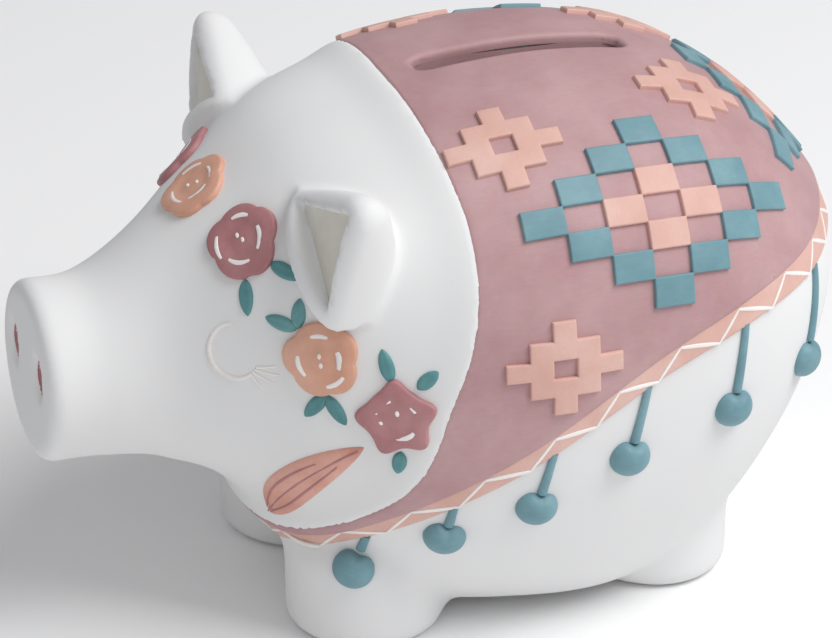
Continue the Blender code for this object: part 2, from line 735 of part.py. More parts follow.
# Tassels under the hem
def tassel(cord_length):
    """A cord that hangs down from the origin and ends in a round ball."""
    middle = -cord_length - BALL_RADIUS
    ball = [BALL_RADIUS * math.cos(math.radians(a)) for a in (40, 65, 90, 115, 140, 165)]
    heights = [-middle, (BALL_RADIUS - middle) / 2, BALL_RADIUS + 0.2] + ball
    half_widths = [max(CORD_WIDTH / 2, math.sqrt(max(BALL_RADIUS ** 2 - h * h, 0.0))) for h in heights]
    domes = [BALL_HEIGHT * math.sqrt(1 - (h / BALL_RADIUS) ** 2) for h in ball]
    rise = [CORD_HEIGHT] * 3 + [max(dome, CORD_HEIGHT) for dome in domes]
    return ribbon([(0.0, middle + h) for h in heights], half_widths, rise)


for word, side in sides:
    for number, (share, cord_length) in enumerate(TASSELS, 1):
        place = seat(form_skin, share, 0.0, height=hem_height(share) - CORD_GAP)
        relief(f"tassel_{word}_{number}", tassel(cord_length), form_skin, place, teal, side)


# Garland
def petal_edge(angle):
    return ROSE_RADIUS - PETAL_DEPTH + PETAL_DEPTH * math.cos(PETALS * angle)


def leaf(start, leaves):
    """One or two leaves that grow from start; each is given by its turn and length."""
    tips = []
    for turn, length in leaves:
        way = np.array([math.cos(math.radians(turn)), math.sin(math.radians(turn))])
        tips.append(start + way * length)
    fullness = np.array([0.3, 0.5, 1.0, 0.7, 0.15])
    steps = np.linspace(0.0, 1.0, len(fullness))[:, None]
    line = start + (tips[0] - start) * steps
    widths = fullness
    if len(tips) == 2:
        second = start + (tips[1] - start) * steps
        line = np.vstack([line[:0:-1], second])
        widths = np.concatenate([fullness[:0:-1], fullness])
    return ribbon(line, widths * LEAF_WIDTH / 2, LEAF_HEIGHT, across=2)


rose = rosette(petal_edge, ROSE_HEIGHT)
rose_paints = {"peach": peach, "mauve": rose_mauve}
for number, (colour, share, bearing, turn) in enumerate(ROSES):
    place = seat(form_skin, share, bearing, turn=turn)
    if bearing == 90.0:
        relief("rose_middle", rose, form_skin, place, rose_paints[colour])
        continue
    for word, side in sides:
        relief(f"rose_{word}_{number}", rose, form_skin, place, rose_paints[colour], side)
for name, number, around, leaves in LEAVES:
    _, share, bearing, _ = ROSES[number]
    place = seat(form_skin, share, bearing)
    reach = ROSE_RADIUS + GAP + 0.2
    start = np.array([reach * math.cos(math.radians(around)), reach * math.sin(math.radians(around))])
    for word, side in sides:
        relief(f"leaf_{word}_{name}", leaf(start, leaves), form_skin, place, teal, side)

bow = np.linspace(-1.0, 1.0, 10)
feather_line = np.column_stack([bow * FEATHER_LENGTH / 2, (1 - bow * bow) * FEATHER_BOW])
feather_widths = FEATHER_WIDTH / 2 * np.sqrt(np.clip(1.01 - (0.9 * bow + 0.1 * bow ** 2) ** 2, 0.0, 1.0))
for word, side in sides:
    place = seat(form_skin, *FEATHER_PLACE, turn=FEATHER_TURN)
    feather = ribbon(feather_line, feather_widths, FEATHER_HEIGHT)
    relief(f"feather_{word}", feather, form_skin, place, peach, side)

# Face, ear linings and tail
eye_line = quarter((0.0, 0.0), EYE_RADIUS, EYE_RADIUS, *EYE_ARC, 12)
eye_widths = EYE_LINE / 2 * np.array([0.5] + [1.0] * 10 + [0.5])
eye = ribbon(eye_line, eye_widths, EYE_HEIGHT, across=2)
paint_top = NOSTRIL_PAINT + GAP - NOSTRIL_DEPTH
for word, side in sides:
    relief(f"closed_eye_{word}", eye, form_skin, seat(form_skin, *EYE_PLACE), white, side)
    nostril(f"nostril_{word}", GAP, NOSTRIL_DEPTH - GAP, paint_top, side, rose_mauve)
    ear_plate(f"ear_lining_{word}", GAP, EAR_FLOOR + GAP, EAR_FLOOR + GAP + LINING_THICKNESS, side, cream)

curl = np.radians(np.linspace(0, 360 * TAIL_TURNS, 17))
curl_radius = np.linspace(*TAIL_RADII, len(curl))
tail_line = np.column_stack([curl_radius * np.cos(curl), curl_radius * np.sin(curl)])
tail_place = seat(form_skin, 0.5, 90.0, pitch=90.0, long_way=(-1, 0, 0), height=WAIST_HEIGHT - TAIL_DROP)
tail = ribbon(tail_line, [TAIL_WIDTH / 2] * len(curl), TAIL_HEIGHT)
relief("curled_tail", tail, form_skin, tail_place, white)
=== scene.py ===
"""Looks of a pig money bank: a hollow resin casting with raised decoration, painted by hand, and a rubber stopper.

The pig stands on the ground with +Z up, looks along -Y and has its left side at +X. Sizes are in millimetres
unless a name says otherwise, and MM turns them to metres.
"""

import math

import bmesh
import bpy
import numpy as np
from mathutils import Matrix, Vector


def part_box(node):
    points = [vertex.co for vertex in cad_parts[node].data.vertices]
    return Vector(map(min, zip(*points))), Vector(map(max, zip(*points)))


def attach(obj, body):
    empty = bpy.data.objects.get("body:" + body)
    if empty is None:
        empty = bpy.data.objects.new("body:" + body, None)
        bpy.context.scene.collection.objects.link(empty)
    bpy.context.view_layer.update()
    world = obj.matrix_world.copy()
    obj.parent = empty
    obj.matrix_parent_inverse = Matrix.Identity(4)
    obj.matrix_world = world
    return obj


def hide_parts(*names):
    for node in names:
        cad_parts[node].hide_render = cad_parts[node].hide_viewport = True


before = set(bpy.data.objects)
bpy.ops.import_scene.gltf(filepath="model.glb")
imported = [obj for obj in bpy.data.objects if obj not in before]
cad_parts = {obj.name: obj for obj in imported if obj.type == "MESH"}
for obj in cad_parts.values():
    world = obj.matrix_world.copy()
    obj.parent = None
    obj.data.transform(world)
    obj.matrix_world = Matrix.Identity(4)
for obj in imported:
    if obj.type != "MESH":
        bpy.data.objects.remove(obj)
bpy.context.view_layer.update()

MM = 0.001
SIDES = (("left", 1), ("right", -1))


# ---------------------------------------------------------------------------------------------------------
# Casting: one hollow piece of filled polyester resin, slush cast in a rubber mould, then sprayed with a matt
# white base coat that softens every edge. It is described by a field, the distance outside the surface.

LENGTH = 156.0
WIDTH = 100.0
BACK = 101.5
WAIST = 54.0
BELLY = 2.0
SNOUT = 17.0
SNOUT_WAIST = 52.0
SNOUT_SHARE = 0.077
SNOUT_FLARE = 0.5
FACE_ROUNDING = 3.2
BELLY_ROUNDING = 4.0
# Sections: share of the length, of half the width, of the rise to the back and of the drop to the belly,
# then the lift of the waist and how square the upper and lower halves are (2 is an ellipse)
SECTIONS = [
    (0.154, 0.41, 0.505, 0.404, -1.0, 2.1, 2.0),
    (0.231, 0.58, 0.674, 0.545, 0.0, 2.3, 2.1),
    (0.308, 0.76, 0.853, 0.850, 0.0, 2.4, 2.1),
    (0.404, 0.91, 0.943, 1.04, 0.0, 2.5, 2.2),
    (0.532, 1.00, 1.000, 1.154, 0.0, 2.5, 2.2),
    (0.660, 1.00, 1.000, 1.19, 0.0, 2.5, 2.2),
    (0.788, 0.94, 0.895, 1.02, 1.0, 2.4, 2.2),
    (0.885, 0.79, 0.684, 0.673, 2.0, 2.3, 2.1),
    (0.955, 0.52, 0.400, 0.346, 4.0, 2.1, 2.0),
    (1.000, 0.00, 0.000, 0.000, 6.0, 2.0, 2.0),
]
LEGS = [(0.375, 20.0, 15.0), (0.756, 19.0, 13.5)]
LEG_HEIGHT = 22.0
FOOT_ROUNDING = 4.0
LEG_BLEND = 3.2
NECK_EDGE = [
    (14.0, 0.205), (24.0, 0.279), (36.0, 0.366), (57.0, 0.423), (70.0, 0.449), (85.0, 0.458), (104.0, 0.440),
]
LIP_HEIGHT = 1.1
LIP_FRONT = 5.0
LIP_BACK = 0.8
EAR_SHARE = 0.301
EAR_BEARING = 41.3
EAR_SPLAY = 47.3
EAR_LEAN = -8.7
EAR_LENGTH = 24.5
EAR_ROOT = 7.0
EAR_FOOT = 5.0
EAR_HALF_WIDTH = 13.2
EAR_FRONT = 5.2
EAR_BACK = 13.5
EAR_BLEND = 2.0
EAR_HOLLOW_HALF = 10.2
EAR_HOLLOW_TIP = 20.5
EAR_HOLLOW_BASE = 2.6
EAR_HOLLOW_FLOOR = 1.6
EAR_RIM_ROUNDING = 1.2
NOSTRIL_SPACING = 16.0
NOSTRIL_RISE = 2.5
NOSTRIL_HALF = (2.4, 3.9)
NOSTRIL_DEPTH = 1.2
SLOT_SHARE = 0.615
SLOT_LENGTH = 42.0
SLOT_WIDTH = 6.0
SLOT_WALL = 1.3
SLOT_FLOOR = 80.0
HOLE_SHARE = 0.564
HOLE_RADIUS = 15.0
SEAT_RADIUS = 18.3
SEAT_TOP = BELLY + 2.2
WALL = 4.5
GRID_STEP = 0.9
CAVITY_STEP = 2.6


def along(share):
    """Place along the pig, from the snout face to the rump."""
    return (share - 0.5) * LENGTH


def curve_through(knots, values):
    """A smooth function through values at knots."""
    knots, values = np.array(knots, float), np.array(values, float)
    slope = np.gradient(values, knots)

    def at(where):
        k = np.clip(np.searchsorted(knots, where, side="right") - 1, 0, len(knots) - 2)
        span = knots[k + 1] - knots[k]
        t = np.clip((where - knots[k]) / span, 0.0, 1.0)
        start = (1 + 2 * t) * (1 - t) ** 2 * values[k] + t * (1 - t) ** 2 * span * slope[k]
        end = t * t * (3 - 2 * t) * values[k + 1] + t * t * (t - 1) * span * slope[k + 1]
        return start + end

    return at


def round_section(share, radius):
    """A section of the snout: a circle about the snout's own waist."""
    rise, fall = radius / (BACK - WAIST), radius / (WAIST - BELLY)
    return (share, 2 * radius / WIDTH, rise, fall, SNOUT_WAIST - WAIST, 2, 2)


snout = [round_section(0.0, SNOUT), round_section(SNOUT_SHARE, SNOUT + SNOUT_FLARE)]
stations = np.array(snout + SECTIONS)
station_y = along(stations[:, 0])
half_squared = curve_through(station_y, (stations[:, 1] * WIDTH / 2) ** 2)
rise_squared = curve_through(station_y, (stations[:, 2] * (BACK - WAIST)) ** 2)
drop_squared = curve_through(station_y, (stations[:, 3] * (WAIST - BELLY)) ** 2)
waist_at = curve_through(station_y, WAIST + stations[:, 4])
upper_power = curve_through(station_y, stations[:, 5])
lower_power = curve_through(station_y, stations[:, 6])
neck_share = curve_through(*zip(*NECK_EDGE))


def soft_max(a, b, blend):
    """The larger of two fields, rounded where they meet."""
    mix = np.clip(0.5 - 0.5 * (b - a) / blend, 0.0, 1.0)
    return b + (a - b) * mix + blend * mix * (1 - mix)


def soft_min(a, b, blend):
    """The smaller of two fields, filleted where they meet."""
    return -soft_max(-a, -b, blend)


def barrel(x, y, z, inset=0.0):
    """Distance outside the barrel of the pig, from the snout face to the rump."""

    def size(y):
        half = np.sqrt(np.maximum(half_squared(y), 0.01))
        rise = np.sqrt(np.maximum(rise_squared(y), 0.01))
        drop = np.sqrt(np.maximum(drop_squared(y), 0.01))
        waist = waist_at(y)
        above = z > waist
        power = np.where(above, upper_power(y), lower_power(y))
        return half, np.where(above, rise, drop), waist, power

    def squash(y):
        half, reach, waist, power = size(y)
        return ((np.abs(x) / half) ** power + (np.abs(z - waist) / reach) ** power) ** (1 / power)

    half, reach, waist, power = size(y)
    value = np.maximum(squash(y), 0.01)
    step = 0.4
    slope_x = (np.abs(x) / half / value) ** (power - 1) / half
    slope_z = (np.abs(z - waist) / reach / value) ** (power - 1) / reach
    slope_y = (squash(y + step) - squash(y - step)) / (2 * step)
    distance = (value - 1) / np.sqrt(slope_x ** 2 + slope_y ** 2 + slope_z ** 2) + inset
    distance = np.maximum(distance, y - along(1.0) + inset)
    return soft_max(distance, along(0.0) + inset - y, FACE_ROUNDING)


def torso(x, y, z):
    """The barrel, flat below the belly, with the four stub legs."""
    trunk = soft_max(barrel(x, y, z), BELLY - z, BELLY_ROUNDING)
    for share, track, radius in LEGS:
        stub = np.hypot(np.abs(x) - track, y - along(share)) - radius
        stub = soft_max(soft_max(stub, -z, FOOT_ROUNDING), z - LEG_HEIGHT, 2 * FOOT_ROUNDING)
        trunk = soft_min(trunk, stub, LEG_BLEND)
    return np.maximum(trunk, -z)


def behind_neck(x, y, z):
    """How far a point lies behind the neck edge of the poncho."""
    return y - along(neck_share(z))


def head(x, y, z):
    """The torso with the raised lip that the poncho's neck edge lies against, and the nostrils."""
    behind = behind_neck(x, y, z)
    lip = LIP_HEIGHT * np.exp(-(behind / np.where(behind < 0, LIP_FRONT, LIP_BACK)) ** 2)
    dent = np.hypot((np.abs(x) - NOSTRIL_SPACING / 2) / NOSTRIL_HALF[0],
                    (z - SNOUT_WAIST - NOSTRIL_RISE) / NOSTRIL_HALF[1])
    near_face = np.clip((along(0.0) + 6.0 - y) / 4.0, 0.0, 1.0)
    pressed = np.clip(1.3 - dent, 0.0, 0.5) * 2
    return torso(x, y, z) - lip + NOSTRIL_DEPTH * near_face * pressed


def gradient(field, points):
    """Direction in which a field grows fastest, at each point."""
    step = 0.08
    columns = []
    for axis in range(3):
        move = np.zeros(3)
        move[axis] = step
        columns.append((field(*(points + move).T) - field(*(points - move).T)) / (2 * step))
    return np.column_stack(columns)


def normals_on(skin, points):
    """Unit normals of a surface at points on it."""
    normals = gradient(skin, points)
    return normals / np.linalg.norm(normals, axis=1, keepdims=True)


def drop(points, out, field):
    """Slide points along out until they lie on the surface of the field, with the normals there."""
    points = np.array(points, float)
    out = np.broadcast_to(out, points.shape)
    for _ in range(14):
        slope = np.maximum(np.sum(gradient(field, points) * out, axis=1), 0.3)
        points = points - (field(*points.T) / slope)[:, None] * out
    return points, normals_on(field, points)


def drop_flat(flat, place, skin):
    """Slide points of a flat drawing from its place onto a surface, with the normals there."""
    axes = np.array(place.to_3x3())
    return drop(flat @ axes[:, :2].T + np.array(place.translation), axes[:, 2], skin)


def seat(field, share, bearing, pitch=0.0, turn=0.0, long_way=(0, 1, 0), height=WAIST):
    """Axes on the surface: x towards the rump, y up and z out, turned about z."""
    b, p = math.radians(bearing), math.radians(pitch)
    direction = np.array([math.cos(b) * math.cos(p), math.sin(p), math.sin(b) * math.cos(p)])
    start = np.array([0.0, along(share), height]) + 70.0 * direction
    point, out = drop([start], direction, field)
    out = Vector(out[0])
    x = Vector(long_way)
    x = (x - x.dot(out) * out).normalized()
    axes = Matrix((x, out.cross(x), out)).transposed().to_4x4()
    return Matrix.Translation(point[0]) @ axes @ Matrix.Rotation(math.radians(turn), 4, "Z")


def ear_axes():
    """The left ear's axes: across it, towards its tip and out of its hollow."""
    root = seat(torso, EAR_SHARE, EAR_BEARING)
    splay, lean = math.radians(EAR_SPLAY), math.radians(EAR_LEAN)
    tip = Vector((math.cos(splay) * math.cos(lean), -math.sin(lean), math.sin(splay) * math.cos(lean)))
    facing = Vector((0.0, -1.0, 0.0))
    facing = (facing - facing.dot(tip) * tip).normalized()
    axes = Matrix((tip.cross(facing), tip, facing)).transposed().to_4x4()
    return Matrix.Translation(root.translation) @ axes


ear_frame = ear_axes()


def in_ear(x, y, z):
    """Coordinates across, along and out of the ear on the same side of the pig."""
    base = ear_frame.translation
    return [(np.abs(x) - base.x) * a.x + (y - base.y) * a.y + (z - base.z) * a.z for a in ear_frame.col[:3]]


def ear_taper(v, fullness):
    """Share of the ear's size left at height v."""
    return (1 - np.clip(v / EAR_LENGTH, 0.0, 0.999)) ** fullness


def ear(x, y, z):
    """The ear: a horn, flatter in front and fuller behind."""
    u, v, w = in_ear(x, y, z)
    foot = np.clip(1 + v / EAR_FOOT, 0.0, 1.0)
    half = EAR_HALF_WIDTH * ear_taper(v, 0.8) * (0.6 + 0.4 * foot) + 0.6
    depth = np.where(w > 0, EAR_FRONT * ear_taper(v, 0.5) * foot, EAR_BACK * ear_taper(v, 0.7)) + 0.9
    horn = (np.hypot(u / half, w / depth) - 1) * np.minimum(half, depth)
    horn = soft_max(horn, v - EAR_LENGTH + 1.0, 3.0)
    return np.maximum(horn, -EAR_ROOT - v)


def ear_hollow(x, y, z):
    """The three-cornered hollow in the front of the ear."""
    u, v, w = in_ear(x, y, z)
    reach = EAR_HOLLOW_TIP - EAR_HOLLOW_BASE
    slant = math.hypot(EAR_HOLLOW_HALF, reach)
    half = EAR_HOLLOW_HALF * (1 - (v - EAR_HOLLOW_BASE) / reach)
    sides = soft_max((np.abs(u) - half) * reach / slant, EAR_HOLLOW_BASE - v, 0.8)
    return np.maximum(sides, EAR_HOLLOW_FLOOR - w)


def in_slot(x, y, z):
    """Distance outside the coin slot, seen from above."""
    straight = (SLOT_LENGTH - SLOT_WIDTH) / 2
    return np.hypot(x, np.maximum(np.abs(y - along(SLOT_SHARE)) - straight, 0.0)) - SLOT_WIDTH / 2


def casting_field(x, y, z):
    """The whole outside of the casting with its openings."""
    solid = soft_min(head(x, y, z), ear(x, y, z), EAR_BLEND)
    solid = soft_max(solid, -ear_hollow(x, y, z), EAR_RIM_ROUNDING)
    slot = np.maximum(in_slot(x, y, z) - SLOT_WALL, SLOT_FLOOR - z)
    reach = np.hypot(x, y - along(HOLE_SHARE))
    bore = np.maximum(reach - HOLE_RADIUS, z - BELLY - 2 * WALL)
    hole = np.minimum(bore, np.maximum(reach - SEAT_RADIUS, z - SEAT_TOP))
    return soft_max(np.maximum(solid, -slot), -hole, 0.6)


def wrap(field, low, high, step):
    """Points and quads on the surface of a field, one point to each grid cell that the surface crosses."""
    axes = [np.arange(a, b + step, step) for a, b in zip(low, high)]
    x, y, z = axes[0][:, None, None], axes[1][None, :, None], axes[2][None, None, :]
    value = np.asarray(field(x, y, z) + 0 * (x + y + z), np.float32)
    inside = value < 0
    corner_steps = [(i, j, k) for i in (0, 1) for j in (0, 1) for k in (0, 1)]
    shape = [n - 1 for n in value.shape]

    def shifted(array, move):
        return array[move[0]:move[0] + shape[0], move[1]:move[1] + shape[1], move[2]:move[2] + shape[2]]

    count = sum(shifted(inside, move).astype(np.int8) for move in corner_steps)
    cell = np.argwhere((count > 0) & (count < 8))
    number = np.full(shape, -1, np.int32)
    number[tuple(cell.T)] = np.arange(len(cell))
    total = np.zeros((len(cell), 3))
    crossings = np.zeros(len(cell))
    for axis in range(3):
        for move in corner_steps:
            if move[axis]:
                continue
            a = cell + move
            b = a.copy()
            b[:, axis] += 1
            value_a, value_b = value[tuple(a.T)], value[tuple(b.T)]
            crosses = (value_a < 0) != (value_b < 0)
            share = np.where(crosses, value_a / np.where(crosses, value_a - value_b, 1.0), 0.0)
            spot = a.astype(float)
            spot[:, axis] += share
            total += spot * crosses[:, None]
            crossings += crosses
    points = np.array([a[0] for a in axes]) + step * total / crossings[:, None]
    quads = []
    for axis in range(3):
        ahead = [0, 0, 0]
        ahead[axis] = 1
        side_a, side_b = [(axis + 1) % 3, (axis + 2) % 3]
        edge = np.argwhere(inside != np.roll(inside, -1, axis=axis))
        keep = (edge[:, axis] < shape[axis]) & (edge[:, side_a] > 0) & (edge[:, side_b] > 0)
        edge = edge[keep & (edge[:, side_a] < shape[side_a]) & (edge[:, side_b] < shape[side_b])]
        ring = []
        for back_a, back_b in ((0, 0), (1, 0), (1, 1), (0, 1)):
            spot = edge.copy()
            spot[:, side_a] -= back_a
            spot[:, side_b] -= back_b
            ring.append(number[tuple(spot.T)])
        ring = np.column_stack(ring)
        starts_inside = inside[tuple(edge.T)]
        quads.append(np.where(starts_inside[:, None], ring, ring[:, ::-1]))
    return points, np.vstack(quads)


def settle(points, field, rounds=2):
    """Move points onto the surface of a field, along its gradient."""
    for _ in range(rounds):
        way = gradient(field, points)
        length = np.maximum(np.sum(way * way, axis=1), 0.05)
        move = (field(*points.T) / length)[:, None] * way
        reach = np.maximum(np.linalg.norm(move, axis=1, keepdims=True), 1e-9)
        points = points - move * np.minimum(1.0, 0.4 / reach)
    return points


def add_object(name, data):
    """An object in the scene, at the origin."""
    obj = bpy.data.objects.new(name, data)
    bpy.context.scene.collection.objects.link(obj)
    return obj


def add_mesh(name, points, faces, smooth_angle=40.0):
    """A mesh object from points in millimetres, at the origin."""
    mesh = bpy.data.meshes.new(name)
    mesh.from_pydata((np.asarray(points) * MM).tolist(), [], [tuple(face) for face in faces])
    mesh.shade_smooth()
    mesh.set_sharp_from_angle(angle=math.radians(smooth_angle))
    return add_object(name, mesh)


def applied(obj):
    """Turn an object's modifiers into plain mesh."""
    evaluated = obj.evaluated_get(bpy.context.evaluated_depsgraph_get())
    mesh = bpy.data.meshes.new_from_object(evaluated)
    obj.modifiers.clear()
    obj.data = mesh
    return obj


outside_points, outside_faces = wrap(casting_field, (-54, -80, -1.2), (54, 80, 105), GRID_STEP)
casting = add_mesh("casting", settle(outside_points, casting_field), outside_faces, 60.0)


def cavity_field(x, y, z):
    """The hollow inside, a wall's thickness within the barrel."""
    return soft_max(barrel(x, y, z, WALL), BELLY + WALL - z, BELLY_ROUNDING)


inside_points, inside_faces = wrap(cavity_field, (-50, -76, 3), (50, 76, 100), CAVITY_STEP)
cavity = add_mesh("cavity", inside_points, inside_faces)
hollow = casting.modifiers.new("hollow", "BOOLEAN")
hollow.operation = "DIFFERENCE"
hollow.solver = "MANIFOLD"
hollow.object = cavity
applied(casting)
bpy.data.objects.remove(cavity)
casting.data.shade_smooth()
casting.data.set_sharp_from_angle(angle=math.radians(60.0))


def srgb(hex_colour):
    """A linear colour from an sRGB hex value."""
    channels = [int(hex_colour[i:i + 2], 16) / 255 for i in (1, 3, 5)]
    return (*[c / 12.92 if c <= 0.04045 else ((c + 0.055) / 1.055) ** 2.4 for c in channels], 1.0)


def add_node(tree, kind, inputs=None, **settings):
    """Add a node with its settings; an input is a value, the socket that feeds it, or a node's first output."""
    node = tree.nodes.new(kind)
    for key, value in settings.items():
        setattr(node, key, value)
    for key, value in (inputs or {}).items():
        source = value.outputs[0] if isinstance(value, bpy.types.Node) else value
        if isinstance(source, bpy.types.NodeSocket):
            tree.links.new(source, node.inputs[key])
        else:
            node.inputs[key].default_value = source
    return node


def new_material(name):
    """A material with its node tree and its shader."""
    material = bpy.data.materials.new(name)
    material.use_nodes = True
    return material, material.node_tree, material.node_tree.nodes["Principled BSDF"]


def noise(tree, vector, size, detail, roughness=0.5):
    """A cloudy pattern whose clouds are size millimetres across."""
    return add_node(tree, "ShaderNodeTexNoise", {
        "Vector": vector, "Scale": 1 / (size * MM), "Detail": detail, "Roughness": roughness})


CLOUD_SIZE = 14.0
MARK_SIZE = 0.55
GRAIN_SIZE = 0.35
PIT_SPACING = 9.0
PIT_SHARE = 0.022
# Painted shade: the dark colour put into each pinhole stands in for the shade inside the little hole
PIT_SHADE_COLOUR = "#6A6468"


def painted(name, main, deep, light, roughness, streaks, pits):
    """Matt acrylic brushed or sprayed on resin: uneven cover, fine brush marks and a few casting pinholes,
    darkened inside as painted shade.

    main, deep and light are the coat's usual, thick and thin colours, streaks stretches the marks, and pits
    scales the pinholes.
    """
    material, tree, shader = new_material(name)
    place = add_node(tree, "ShaderNodeTexCoord").outputs["Object"]
    cover = add_node(tree, "ShaderNodeValToRGB", {"Fac": noise(tree, place, CLOUD_SIZE, 4.0, 0.6)})
    cover.color_ramp.elements.new(0.5)
    for element, position, colour in zip(cover.color_ramp.elements, (0.32, 0.5, 0.68), (deep, main, light)):
        element.position = position
        element.color = srgb(colour)
    stretched = add_node(tree, "ShaderNodeMapping", {"Vector": place, "Scale": streaks})
    marks = noise(tree, stretched, MARK_SIZE, 3.0, 0.55)
    tinted = add_node(tree, "ShaderNodeMix", {"Factor": 0.16, 6: cover, 7: marks.outputs["Color"]},
                      data_type="RGBA", blend_type="SOFT_LIGHT")
    cells = add_node(tree, "ShaderNodeTexVoronoi", {
        "Vector": place, "Scale": 1 / (PIT_SPACING * MM), "Randomness": 1.0})
    pit_radius = PIT_SHARE * pits
    pit = add_node(tree, "ShaderNodeMapRange", {
        "Value": cells, "From Min": pit_radius * 0.4, "From Max": pit_radius, "To Min": 1.0, "To Max": 0.0})
    # Painted shade: the coat is darkened towards a dark grey-mauve inside each pinhole
    pit_shaded = add_node(tree, "ShaderNodeMix", {
        "Factor": pit, 6: tinted.outputs[2], 7: srgb(PIT_SHADE_COLOUR)}, data_type="RGBA")
    grain = noise(tree, place, GRAIN_SIZE, 2.0)
    relief = add_node(tree, "ShaderNodeMath", {0: marks, 1: grain}, operation="ADD")
    sunk = add_node(tree, "ShaderNodeMath", {0: relief, 1: pit}, operation="SUBTRACT")
    bump = add_node(tree, "ShaderNodeBump", {"Height": sunk, "Strength": 0.35, "Distance": 0.05 * MM})
    shine = add_node(tree, "ShaderNodeMapRange", {
        "Value": marks, "To Min": roughness - 0.06, "To Max": roughness + 0.08})
    for key, source in (("Base Color", pit_shaded.outputs[2]), ("Normal", bump.outputs[0]),
                        ("Roughness", shine.outputs[0])):
        tree.links.new(source, shader.inputs[key])
    shader.inputs["IOR"].default_value = 1.47
    return material


# Matt white base coat: cool and chalky, with the faint clouds of an airbrush
white_coat = painted("matt_white_base_coat", "#E0DFE6", "#D8D7DE", "#E7E6EC", 0.52, (1.0, 0.3, 1.0), 1.0)
casting.data.materials.append(white_coat)
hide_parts("body_shell")
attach(casting, "casting")


# ---------------------------------------------------------------------------------------------------------
# Poncho: a blanket-like sheet raised on the back of the casting, painted dusty mauve after the white coat.
# Its edges are soft where the mould rounds them, and its paint runs a little way into the coin slot.

PONCHO_HEIGHT = 1.15
PONCHO_ROUNDING = 0.8
SLOT_ROUNDING = 1.0
SLOT_LINER_DEPTH = 7.0
SHEET_SUNK = 0.7
HEM = [(0.20, 9.0), (0.28, 17.8), (0.37, 28.3), (0.50, 40.5), (0.69, 57.5), (0.84, 64.5), (1.02, 67.5)]
BORDER_FRONT = 2.5
BORDER_REAR = 5.2
hem_height = curve_through([along(share) for share, _ in HEM], [height for _, height in HEM])


def border_width(y):
    """Height of the border between the hem and the poncho."""
    return BORDER_FRONT + (BORDER_REAR - BORDER_FRONT) * np.clip(y / LENGTH + 0.5, 0.0, 1.0)


def above_hem(x, y, z):
    """Height above the hem."""
    return z - hem_height(y)


def above_border(x, y, z):
    """Height above the poncho's lower edge."""
    return above_hem(x, y, z) - border_width(y)


def edge_distance(line, points, normals):
    """Distance along the surface from the line where a field is zero."""
    way = gradient(line, points)
    way = way - np.sum(way * normals, axis=1, keepdims=True) * normals
    return line(*points.T) / np.maximum(np.linalg.norm(way, axis=1), 0.2)


def split_along(bm, line, offset, skin):
    """Cut a mesh in millimetres along the line at a distance offset from the zero of a field."""
    bm.verts.ensure_lookup_table()
    bm.verts.index_update()
    points = np.array([v.co for v in bm.verts])
    normals = normals_on(skin, points)
    distance = edge_distance(line, points, normals) - offset
    distance[np.abs(distance) < 0.03] = 0.0
    value = dict(zip(bm.verts, distance.tolist()))
    for edge in bm.edges[:]:
        a, b = edge.verts
        if value[a] * value[b] < 0:
            _, vert = bmesh.utils.edge_split(edge, a, value[a] / (value[a] - value[b]))
            value[vert] = 0.0
    touched = {face for vert, distance in value.items() if distance == 0 for face in vert.link_faces}
    for face in touched:
        on_line = [v for v in face.verts if value[v] == 0]
        joined = len(on_line) == 2 and any(set(e.verts) == set(on_line) for e in face.edges)
        if len(on_line) == 2 and not joined:
            bmesh.utils.face_split(face, *on_line)
    return value


def sheet_on(skin, keeps, sizes):
    """The part of the torso's skin inside each line in keeps, cut along that line at the distances in sizes."""
    rows, columns = 150, 190
    way = np.linspace(0.0, 1.0, rows)
    row_y = along(0.14) + (along(1.0) - along(0.14)) * np.sin(way * math.pi / 2)
    turns = np.arange(columns) * 2 * math.pi / columns
    y = np.repeat(row_y[:-1], columns)
    turn = np.tile(turns, rows - 1)
    half, rise, low = np.sqrt(half_squared(y)), np.sqrt(rise_squared(y)), np.sqrt(drop_squared(y))
    across, up = np.cos(turn), np.sin(turn)
    power = np.where(up > 0, upper_power(y), lower_power(y))
    x = half * np.sign(across) * np.abs(across) ** (2 / power)
    z = waist_at(y) + np.where(up > 0, rise, low) * np.sign(up) * np.abs(up) ** (2 / power)
    points = np.vstack([np.column_stack([x, y, z]), [(0.0, along(1.0), waist_at(along(1.0)))]])
    bm = bmesh.new()
    verts = [bm.verts.new(p) for p in points]
    for i in range(rows - 2):
        for j in range(columns):
            a, b = i * columns + j, i * columns + (j + 1) % columns
            bm.faces.new([verts[a], verts[a + columns], verts[b + columns], verts[b]])
    last = (rows - 2) * columns
    for j in range(columns):
        bm.faces.new([verts[last + j], verts[-1], verts[last + (j + 1) % columns]])
    for keep in keeps:
        reach = keep(*points.T)
        far = [vert for vert, value in zip(verts, reach) if vert.is_valid and value < -6.0]
        bmesh.ops.delete(bm, geom=far, context="VERTS")
    moved = settle(np.array([v.co for v in bm.verts]), skin)
    for vert, spot in zip(bm.verts, moved):
        vert.co = spot
    for keep, offsets in zip(keeps, sizes):
        for offset in offsets:
            value = split_along(bm, keep, offset, skin)
            if offset == 0.0:
                outside = [f for f in bm.faces if min(value[v] for v in f.verts) < 0]
                bmesh.ops.delete(bm, geom=outside, context="FACES")
    bmesh.ops.triangulate(bm, faces=[f for f in bm.faces if len(f.verts) > 4])
    bm.verts.index_update()
    points = np.array([v.co for v in bm.verts])
    faces = [tuple(v.index for v in f.verts) for f in bm.faces]
    bm.free()
    return points, faces


def rounded(distance, height, radius):
    """Height of a rounded edge at a distance inside it."""
    share = np.clip(distance / radius, 0.0, 1.0)
    return height - radius + radius * np.sqrt(np.maximum(1 - (1 - share) ** 2, 0.0))


